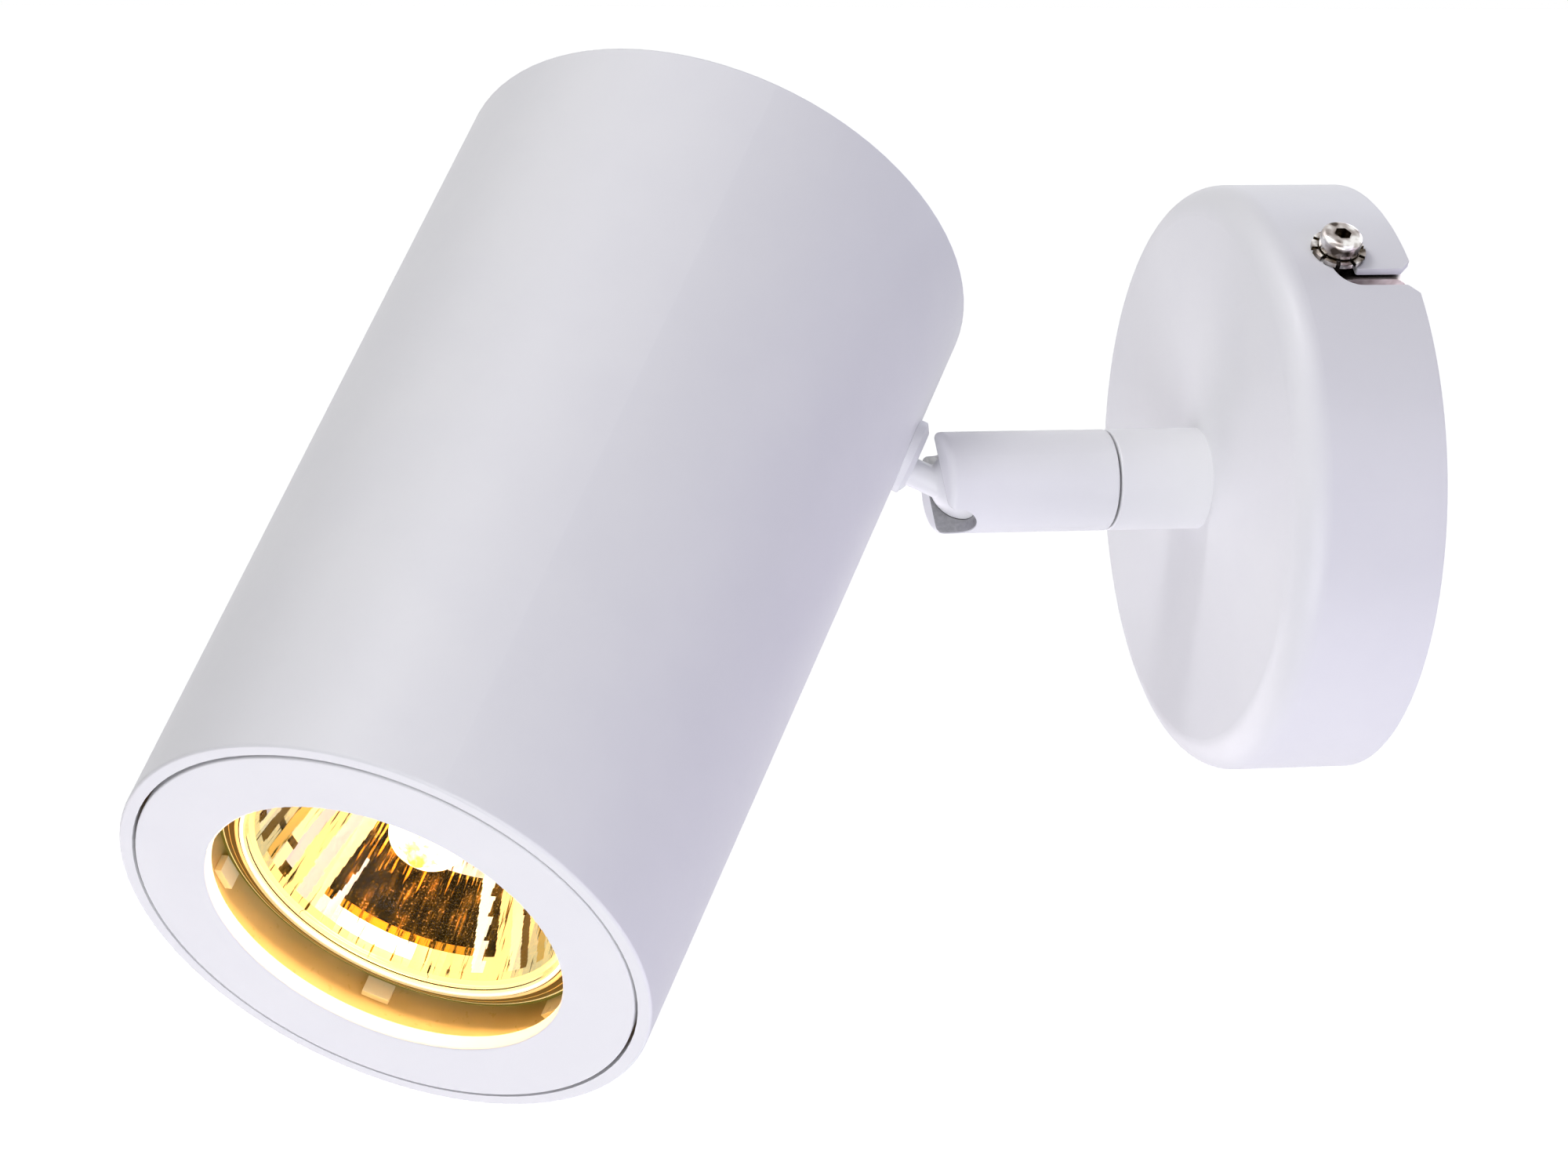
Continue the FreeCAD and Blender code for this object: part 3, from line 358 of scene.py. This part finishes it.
def bowl_noise(tree, across, along, detail):
    """Noise over the bowl's own coordinates: turns round the axis and centimetres of depth."""
    place = tree.nodes.new("ShaderNodeUVMap")
    place.uv_map = "bowl"
    mapping = add_node(tree, "ShaderNodeMapping", Scale=(across, along, 1.0))
    texture = add_node(tree, "ShaderNodeTexNoise", Scale=1.0, Detail=detail)
    tree.links.new(place.outputs["UV"], mapping.inputs["Vector"])
    tree.links.new(mapping.outputs["Vector"], texture.inputs["Vector"])
    return texture.outputs["Fac"]


def measured(tree, operation, vector):
    """Vector operation between the object's own coordinates and a vector."""
    place = tree.nodes.new("ShaderNodeTexCoord")
    node = tree.nodes.new("ShaderNodeVectorMath")
    node.operation = operation
    node.inputs[1].default_value = vector
    tree.links.new(place.outputs["Object"], node.inputs[0])
    return node


def length_of(tree, vector):
    node = tree.nodes.new("ShaderNodeVectorMath")
    node.operation = "LENGTH"
    tree.links.new(vector, node.inputs[0])
    return node.outputs["Value"]


def distance_from_stem(tree):
    """How far a point lies from the stem's axis, which is the canopy's and the barrel's too."""
    return length_of(tree, measured(tree, "MULTIPLY", (1.0, 0.0, 1.0)).outputs["Vector"])


def distance_from_lamp(tree):
    """How far a point lies from the lamp's axis."""
    across = tree.nodes.new("ShaderNodeVectorMath")
    across.operation = "CROSS_PRODUCT"
    across.inputs[1].default_value = head_z
    tree.links.new(measured(tree, "SUBTRACT", lamp_axis).outputs["Vector"], across.inputs[0])
    return length_of(tree, across.outputs["Vector"])


def ranged(tree, value, low, high, to_low=0.0, to_high=1.0):
    """Value moved from one range to another, and held at the ends of it."""
    node = add_node(tree, "ShaderNodeMapRange", From_Min=low, From_Max=high,
                    To_Min=to_low, To_Max=to_high)
    tree.links.new(value, node.inputs["Value"])
    return node.outputs["Result"]


def falling(tree, value, low, high):
    """One below the range and none above it."""
    return ranged(tree, value, low, high, 1.0, 0.0)


def combined(tree, operation, first, second):
    """Math operation on two values."""
    node = tree.nodes.new("ShaderNodeMath")
    node.operation = operation
    tree.links.new(first, node.inputs[0])
    tree.links.new(second, node.inputs[1])
    return node.outputs["Value"]


def mixed(tree, share, first, second):
    """Colour between two others, at a share of the second."""
    node = tree.nodes.new("ShaderNodeMix")
    node.data_type = "RGBA"
    tree.links.new(share, node.inputs["Factor"])
    tree.links.new(first, node.inputs["A"])
    tree.links.new(second, node.inputs["B"])
    return node.outputs["Result"]


def colour_ramp(tree, value, stops):
    ramp = tree.nodes.new("ShaderNodeValToRGB")
    elements = ramp.color_ramp.elements
    while len(elements) < len(stops):
        elements.new(1.0)
    for element, (position, colour) in zip(elements, stops):
        element.position = position
        element.color = (*colour, 1.0)
    tree.links.new(value, ramp.inputs["Fac"])
    return ramp.outputs["Color"]


def two_tones(tree, value, dark, light):
    """Colour that a noise moves between a dark and a light tone."""
    return colour_ramp(tree, value, list(zip(colour_range, (dark, light))))


def spread_values(tree, value, low, high, socket):
    """Let a noise move a shader's value between two others."""
    tree.links.new(ranged(tree, value, *value_range, low, high), socket)


def raise_bumps(tree, value, height, shader, strength):
    bump = add_node(tree, "ShaderNodeBump", Strength=strength, Distance=height)
    tree.links.new(value, bump.inputs["Height"])
    tree.links.new(bump.outputs["Normal"], shader.inputs["Normal"])


def blend_shaders(tree, share, first, second, output):
    """Show the first shader, and at a share the second."""
    mix = tree.nodes.new("ShaderNodeMixShader")
    tree.links.new(share, mix.inputs["Fac"])
    tree.links.new(first, mix.inputs[1])
    tree.links.new(second, mix.inputs[2])
    tree.links.new(mix.outputs["Shader"], tree.nodes[output].inputs["Surface"])


# Materials

def white(tree):
    """The coat's white, with faint patches."""
    return two_tones(tree, noise(tree, coat_patches), *coat_white)


def texture_coat(tree, shader, roughness):
    """Slightly uneven sheen and faint orange peel of a powder coat."""
    spread_values(tree, noise(tree, coat_sheen), *roughness, shader.inputs["Roughness"])
    raise_bumps(tree, noise(tree, coat_peel), fine_grain_height, shader, coat_peel_strength)


def make_white_coat():
    """Satin white powder coat."""
    material, tree, shader = new_material("white_coat")
    tree.links.new(white(tree), shader.inputs["Base Color"])
    texture_coat(tree, shader, coat_roughness)
    return material


def make_slotted_coat():
    """White coat with bare metal on the inner faces of the tilt slot and the ball's socket."""
    material, tree, shader = new_material("slotted_coat")
    steel = two_tones(tree, noise(tree, metal_grain), *bare_tones)
    beside = measured(tree, "DOT_PRODUCT", head_x).outputs["Value"]
    beside = combined(tree, "MULTIPLY", beside, beside)
    in_slot = falling(tree, beside, slot_half_width ** 2, (slot_half_width * bare_edge) ** 2)
    inside = falling(tree, distance_from_stem(tree), coat_inner_radius, coat_inner_radius * bare_edge)
    bare = combined(tree, "MULTIPLY", in_slot, inside)
    tree.links.new(mixed(tree, bare, white(tree), steel), shader.inputs["Base Color"])
    tree.links.new(ranged(tree, bare, 0.0, 1.0, 0.0, bare_metallic), shader.inputs["Metallic"])
    texture_coat(tree, shader, coat_roughness)
    return material


def make_sleeve_coat():
    """Inside the sleeve, the lamp's warm light painted gold on its wall and paler on its stops; a white
    coat outside.
    """
    material, tree, shader = new_material("sleeve_coat")
    radius = distance_from_lamp(tree)
    patches = noise(tree, coat_patches)
    # Painted light: the lamp's warm light, gold on the wall and paler on the stops
    wall = two_tones(tree, patches, *sleeve_lamplight_tones)
    stops = two_tones(tree, patches, *stop_lamplight_tones)
    on_stop = falling(tree, radius, stop_foot_radius, sleeve_inner_radius)
    inside = mixed(tree, on_stop, wall, stops)
    outside = ranged(tree, radius, sleeve_inner_radius * sleeve_white_start,
                     sleeve_inner_radius * sleeve_white_full)
    tree.links.new(mixed(tree, outside, inside, white(tree)), shader.inputs["Base Color"])
    texture_coat(tree, shader, sleeve_roughness)
    return material


def make_canopy_coat():
    """White coat outside, and painted shade inside the drawn cup."""
    material, tree, shader = new_material("canopy_coat")
    # Painted shade: a dark tone inside the cup, behind its front face
    painted_shade = two_tones(tree, noise(tree, canopy_shade_patches), *canopy_shade_tones)
    inside = falling(tree, distance_from_stem(tree), canopy_shade_radius, canopy_shade_radius * canopy_shade_radius_edge)
    height = measured(tree, "DOT_PRODUCT", (0.0, 1.0, 0.0)).outputs["Value"]
    behind = ranged(tree, height, -canopy_shade_depth, -canopy_shade_depth * canopy_shade_depth_edge)
    share = combined(tree, "MULTIPLY", inside, behind)
    tree.links.new(mixed(tree, share, white(tree), painted_shade), shader.inputs["Base Color"])
    texture_coat(tree, shader, coat_roughness)
    return material


def make_metal(name, dark, light, roughness):
    """Metal with patches and a fine grain."""
    material, tree, shader = new_material(name)
    shader.inputs["Metallic"].default_value = 1.0
    colour = two_tones(tree, noise(tree, metal_patches), dark, light)
    tree.links.new(colour, shader.inputs["Base Color"])
    fine = noise(tree, metal_grain)
    spread_values(tree, fine, roughness - metal_smoother, roughness + metal_rougher,
                  shader.inputs["Roughness"])
    raise_bumps(tree, fine, fine_grain_height, shader, grain_strength)
    return material


def make_plastic(name, dark, light, roughness):
    """Moulded plastic or ceramic with patches and a fine grain."""
    material, tree, shader = new_material(name)
    colour = two_tones(tree, noise(tree, plastic_patches), dark, light)
    tree.links.new(colour, shader.inputs["Base Color"])
    fine = noise(tree, plastic_grain)
    spread_values(tree, fine, roughness - plastic_variation, roughness + plastic_variation,
                  shader.inputs["Roughness"])
    raise_bumps(tree, fine, plastic_grain_height, shader, grain_strength)
    return material


def make_plated(name, tone_and_reflection_zones, shade_tone, recess, roughness):
    """Plated metal with darker and brighter zones, which on the polished nickel are painted reflections,
    and painted shade where it lies in a recess.
    """
    material, tree, shader = new_material(name)
    shader.inputs["Metallic"].default_value = 1.0
    # Zones of tone, which on the polished nickel are painted reflections
    plating_and_reflection = colour_ramp(tree, noise(tree, plating_patches), tone_and_reflection_zones)
    # Painted shade: a dark, grainy tone wherever ambient occlusion finds a recess
    pale_shade = [recess_shade_lightening * tone for tone in shade_tone]
    recess_shade = colour_ramp(tree, noise(tree, recess_shade_grain), list(zip(recess_shade_range, (shade_tone, pale_shade))))
    hollow = add_node(tree, "ShaderNodeAmbientOcclusion", Distance=recess)
    open_share = ranged(tree, hollow.outputs["AO"], *recess_range)
    tree.links.new(mixed(tree, open_share, recess_shade, plating_and_reflection), shader.inputs["Base Color"])
    spread_values(tree, noise(tree, plating_sheen), roughness - plating_variation,
                  roughness + plating_variation, shader.inputs["Roughness"])
    return material


def make_glass():
    """Thin clear glass: it lets light straight through and mirrors a little at grazing angles."""
    material, tree, shader = new_material("lamp_glass")
    clear = tree.nodes.new("ShaderNodeBsdfTransparent")
    fresnel = add_node(tree, "ShaderNodeFresnel", IOR=glass_index)
    shader.inputs["Base Color"].default_value = glass_tint
    shader.inputs["Metallic"].default_value = 1.0
    spread_values(tree, noise(tree, glass_haze), *glass_roughness, shader.inputs["Roughness"])
    blend_shaders(tree, fresnel.outputs["Fac"], clear.outputs["BSDF"], shader.outputs["BSDF"],
                  "Material Output")
    return material


def make_wire():
    """Glowing wire whose brightness varies a little along it."""
    material, tree, shader = new_material("hot_filament")
    shader.inputs["Base Color"].default_value = wire_colour
    shader.inputs["Emission Color"].default_value = wire_colour
    shader.inputs["Roughness"].default_value = hot_roughness
    spread_values(tree, noise(tree, wire_patches), *wire_glow, shader.inputs["Emission Strength"])
    return material


def make_capsule():
    """Glowing capsule: amber with ragged edges at its tip, nearly white further back."""
    material, tree, shader = new_material("hot_capsule")
    depth = measured(tree, "DOT_PRODUCT", head_z).outputs["Value"]
    tip = lamp_axis.dot(head_z) + (capsule_tip_depth - lamp_joint_depth) * mm
    back = ranged(tree, depth, tip, tip + capsule_fade * mm)
    ragged = ranged(tree, noise(tree, capsule_patches), *value_range,
                    -capsule_raggedness, capsule_raggedness)
    glow = colour_ramp(tree, combined(tree, "ADD", back, ragged), capsule_tones)
    tree.links.new(glow, shader.inputs["Base Color"])
    tree.links.new(glow, shader.inputs["Emission Color"])
    shader.inputs["Emission Strength"].default_value = capsule_glow
    shader.inputs["Roughness"].default_value = hot_roughness
    return material


def make_mirror():
    """Gold mirror facets with painted reflection and glow, and dark speckled streaks of painted
    reflection where the alpha asks for them.
    """
    material, tree, shader = new_material("lamp_mirror")
    glow = tree.nodes.new("ShaderNodeVertexColor")
    glow.layer_name = "glow"
    streaks = ranged(tree, bowl_noise(tree, *streak_noise), *value_range)
    patches = ranged(tree, bowl_noise(tree, *patch_noise), *patch_range)
    specks = ranged(tree, bowl_noise(tree, *speck_noise), *speck_range)
    field = ranged(tree, combined(tree, "ADD", streaks, patches), *field_range)
    dark = colour_ramp(tree, field, field_tones)
    sparkle = colour_ramp(tree, field, speck_tones)
    speckled = mixed(tree, specks, dark, sparkle)
    share = ranged(tree, combined(tree, "ADD", streaks, glow.outputs["Alpha"]), *streak_range)
    colour = mixed(tree, share, glow.outputs["Color"], speckled)
    deeper = add_node(tree, "ShaderNodeGamma", Gamma=mirror_gamma)
    tree.links.new(colour, deeper.inputs["Color"])
    tree.links.new(deeper.outputs["Color"], shader.inputs["Base Color"])
    tree.links.new(colour, shader.inputs["Emission Color"])
    shader.inputs["Metallic"].default_value = 1.0
    shader.inputs["Specular Tint"].default_value = mirror_tint
    shader.inputs["Emission Strength"].default_value = mirror_glow
    spread_values(tree, noise(tree, mirror_grain), *mirror_roughness, shader.inputs["Roughness"])
    return material


# Materials by the record's slots, and those that single nodes have in their place
materials = {
    "white_coat": make_white_coat(),
    "sleeve_coat": make_sleeve_coat(),
    "zinc_plate": make_plated("bracket_zinc", zinc_zones, zinc_recess_shade, zinc_recess, zinc_roughness),
    "lamp_mirror": make_mirror(),
    "lamp_glass": make_glass(),
    "filament_wire": make_wire(),
}
materials.update({name: make_metal(name, *look) for name, look in metals.items()})
materials.update({name: make_plastic(name, *look) for name, look in plastics.items()})
polished = make_plated("polished_nickel", nickel_reflection_zones, nickel_recess_shade, nickel_recess, nickel_roughness)
node_materials = {
    "canopy": make_canopy_coat(),
    "canopy_screws": polished,
    "lock_washers": polished,
    "swivel_barrel": make_slotted_coat(),
    "lamp_capsule": make_capsule(),
}

for entry in frame["record"]["subparts"]:
    slots = nodes[entry["node"]].data.materials
    for index in range(len(slots)):
        slots[index] = node_materials.get(entry["node"], materials[entry["material_slot"]])


# The lamp's reflector and its light

def lamp_place(radius, azimuth, depth):
    """Point at a distance from the lamp's axis, an angle round it and a depth behind the front edge."""
    angle = math.radians(azimuth)
    across = (head_x * math.cos(angle) + head_y * math.sin(angle)) * radius
    return lamp_axis + (across + head_z * (depth - lamp_joint_depth)) * mm


def bowl_radius(depth):
    """Radius of the bowl's parabola at a depth."""
    share = (throat_depth - depth) / (throat_depth - mouth_depth)
    return throat_radius + (mouth_radius - throat_radius) * math.sqrt(max(share, 0.0))


def facet_place(column, level):
    """Point of the fine grid, lying on the flat facet that it belongs to."""
    across = bowl_columns // facet_columns
    first = column // across * across
    row = min(level // cells_per_facet, facet_rows - 1)
    edges = []
    for step in (row, row + 1):
        depth = throat_depth - facet_height * step
        near, far = [lamp_place(bowl_radius(depth), full_turn * place / bowl_columns, depth)
                     for place in (first, first + across)]
        edges.append(near.lerp(far, (column - first) / across))
    return edges[0].lerp(edges[1], level / cells_per_facet - row)


def make_stripes(chance, names):
    """Edges and tones of the pale stripes, how far each row of them is shifted, and its dark patches."""
    edge = 0.0
    edges = []
    while edge < half_turn:
        edge += chance.uniform(*stripe_widths)
        edges.append(edge)
    rows = int(throat_depth / tooth_height) + 1
    shifts = [chance.uniform(-stripe_jag, stripe_jag) for _ in range(rows)]
    patches = [[chance.random() < patch_share for _ in edges] for _ in range(rows)]
    return edges, names, shifts, patches


def stripe_tone(stripes, offset, depth):
    """Tone and share of dark streaks at an angle from the start of the painted reflection's pale
    stripes.
    """
    edges, names, shifts, patches = stripes
    row = int(depth / tooth_height)
    index = min(bisect(edges, offset + shifts[row]), len(edges) - 1)
    if patches[row][index] and depth / tooth_height % 1.0 > patch_start and index:
        return "bronze", streak_share["patch"]
    name = names[index % len(names)]
    return name, streak_share["stripe"] if name in streaked_stripes else 0.0


def bowl_tone(side, depth, left, right):
    """Tone of a cell and its share of dark streaks, as painted reflection: a dark field with a slit of
    light in it and a serrated strip of light beside it, pale stepped stripes round the rest, and a
    bright rim."""
    lean = field_depth - depth
    field_start = field_left + field_left_lean * lean
    strip_start = field_right + field_right_lean * lean
    strip_end = strip_start - strip_width - tooth_reach * (depth / tooth_height % 1.0)
    shade_end = strip_start - shade_width
    slit_start = slit_side + slit_lean * (slit_high - depth)
    slit_steps = int((slit_high - depth) / tooth_height)
    slit_end = slit_start + slit_width + slit_widening * tooth_height * slit_steps
    if depth < straw_depth:
        return "straw", streak_share["mouth"]
    if slit_low < depth < slit_high and slit_start < side < slit_end:
        return "lavender", 0.0
    if side >= field_start:
        return stripe_tone(left, side - field_start, depth)
    if side <= shade_end:
        return stripe_tone(right, shade_end - side, depth)
    if side <= strip_end and depth > bright_depth:
        return "brown", streak_share["shade"]
    if side <= strip_end:
        return "straw", streak_share["mouth"]
    if side <= strip_start:
        return "white", 0.0
    if depth < bright_depth:
        return "white" if side > rose_side else "straw", streak_share["bright"]
    if depth < amber_depth:
        return "amber", streak_share["amber"]
    if depth > rose_depth and side < rose_side:
        return "rose", streak_share["rose"]
    glow = min(max((depth - glow_depth) / (glow_end_depth - glow_depth), 0.0), 1.0)
    return "gold" if glow > gold_glow else "amber", 1.0 - glow_share * glow


def make_bowl():
    """The whole reflector: a fine grid over its flat facets, then its rim and its outside."""
    chance = random.Random(stripe_seed)
    left = make_stripes(chance, left_stripes)
    right = make_stripes(chance, right_stripes)
    levels = facet_rows * cells_per_facet
    rings = [[facet_place(column, level) for column in range(bowl_columns)]
             for level in range(levels + 1)]
    depths = [throat_depth - facet_height * level / cells_per_facet for level in range(levels + 1)]
    for radius, depth, _ in rim_profile:
        rings.append([lamp_place(radius, full_turn * column / bowl_columns, depth)
                      for column in range(bowl_columns)])
        depths.append(depth)
    faces, colours, places = [], [], []
    for ring in range(len(rings) - 1):
        for column in range(bowl_columns):
            after = (column + 1) % bowl_columns
            low, high = ring * bowl_columns, (ring + 1) * bowl_columns
            faces.append((low + column, low + after, high + after, high + column))
            # Painted reflection and glow: a tone for each cell of the facets, and one for each ring of
            # the rim and the outside
            if ring < levels:
                side = full_turn * (column + 0.5) / bowl_columns - half_turn
                tone, streaks = bowl_tone(side, (depths[ring] + depths[ring + 1]) / 2, left, right)
            else:
                tone, streaks = rim_profile[ring - levels][2], 0.0
            colours += [*painted_glow_tones[tone], streaks] * 4
            across = [column / bowl_columns, (column + 1) / bowl_columns]
            for share, level in ((0, ring), (1, ring), (1, ring + 1), (0, ring + 1)):
                places += [across[share], depths[level] / depth_unit]
    mesh = bpy.data.meshes.new("mirror_bowl")
    mesh.from_pydata([place for ring in rings for place in ring], [], faces)
    mesh.color_attributes.new("glow", "FLOAT_COLOR", "CORNER").data.foreach_set("color", colours)
    mesh.uv_layers.new(name="bowl").data.foreach_set("uv", places)
    smooth = [index >= levels * bowl_columns for index in range(len(faces))]
    mesh.polygons.foreach_set("use_smooth", smooth)
    mesh.materials.append(materials["lamp_mirror"])
    bowl = bpy.data.objects.new("mirror_bowl", mesh)
    bpy.context.collection.objects.link(bowl)
    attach(bowl, "lamp")
    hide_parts("lamp_reflector")


def make_lamp_light():
    """Warm light from the bowl, which moves with the lamp and lights the sleeve and the ring's edge."""
    light = bpy.data.lights.new("lamp_light", "AREA")
    light.shape = "DISK"
    light.size = lamp_light_size * mm
    light.energy = lamp_light_power
    light.color = lamp_light_colour
    glow = bpy.data.objects.new("lamp_light", light)
    glow.location = lamp_place(0.0, 0.0, lamp_light_depth)
    glow.rotation_euler = head_z.to_track_quat("Z", "Y").to_euler()
    glow.visible_camera = False
    glow.visible_glossy = False
    bpy.context.collection.objects.link(glow)
    body = frame["bodies"]["lamp"]
    glow.parent = body
    glow.matrix_parent_inverse = body.matrix_world.inverted()


# Studio: pale floor, world, soft boxes and camera

def seen_rays(tree):
    """One for the rays that see the background: camera, glossy and transmission rays."""
    path = tree.nodes.new("ShaderNodeLightPath")
    total = path.outputs["Is Camera Ray"]
    for name in ("Is Glossy Ray", "Is Transmission Ray"):
        total = combined(tree, "MAXIMUM", total, path.outputs[name])
    return total


def make_floor():
    """Pale floor under the part: it keeps the part's shadow and turns pure white further out."""
    low = cad_box[0][2] - floor_drop
    mesh = bpy.data.meshes.new("floor")
    half = floor_size / 2
    corners = [(-half, -half, low), (half, -half, low), (half, half, low), (-half, half, low)]
    mesh.from_pydata(corners, [], [(0, 1, 2, 3)])
    floor = bpy.data.objects.new("floor", mesh)
    bpy.context.collection.objects.link(floor)
    material, tree, shader = new_material("floor")
    grey = two_tones(tree, noise(tree, floor_patches), *floor_greys)
    tree.links.new(grey, shader.inputs["Base Color"])
    shader.inputs["Roughness"].default_value = floor_roughness
    reach = measured(tree, "DISTANCE", (0.0, 0.0, low)).outputs["Value"]
    glow = ranged(tree, reach, floor_shadow_reach, floor_white_reach, floor_near_glow, 1.0)
    seen = combined(tree, "MULTIPLY", seen_rays(tree), glow)
    shader.inputs["Emission Color"].default_value = pure_white
    tree.links.new(seen, shader.inputs["Emission Strength"])
    mesh.materials.append(material)


def make_world():
    """White where the background is seen, and faint light from all round."""
    world = bpy.data.worlds.new("studio")
    bpy.context.scene.world = world
    world.use_nodes = True
    tree = world.node_tree
    lit = tree.nodes["Background"]
    lit.inputs["Color"].default_value = (*world_colour, 1.0)
    lit.inputs["Strength"].default_value = world_strength
    seen = add_node(tree, "ShaderNodeBackground", Color=pure_white, Strength=1.0)
    blend_shaders(tree, seen_rays(tree), lit.outputs["Background"], seen.outputs["Background"],
                  "World Output")


def make_softbox(name, direction, distance, side, power, colour):
    """Square light that shines on the object's middle."""
    middle = (Vector(cad_box[0]) + Vector(cad_box[1])) / 2
    right, up, back = direction
    aim = (camera_right * right + camera_up * up + camera_back * back).normalized()
    light = bpy.data.lights.new(name, "AREA")
    light.shape = "SQUARE"
    light.size = side
    light.energy = power
    light.color = colour
    lamp = bpy.data.objects.new(name, light)
    lamp.location = middle + aim * distance
    lamp.rotation_euler = aim.to_track_quat("Z", "Y").to_euler()
    lamp.visible_camera = False
    bpy.context.collection.objects.link(lamp)


def make_camera():
    lens = bpy.data.cameras.new("camera")
    lens.sensor_width = sensor_width
    lens.lens = focal_pixels * sensor_width / image_width
    camera = bpy.data.objects.new("camera", lens)
    turn = Matrix((camera_right, camera_up, camera_back)).transposed().to_4x4()
    camera.matrix_world = Matrix.Translation(camera_place) @ turn
    bpy.context.collection.objects.link(camera)
    bpy.context.scene.camera = camera


make_bowl()
make_lamp_light()
make_floor()
make_world()
for box in softboxes:
    make_softbox(*box)
make_camera()
bpy.context.scene.view_settings.view_transform = "Standard"
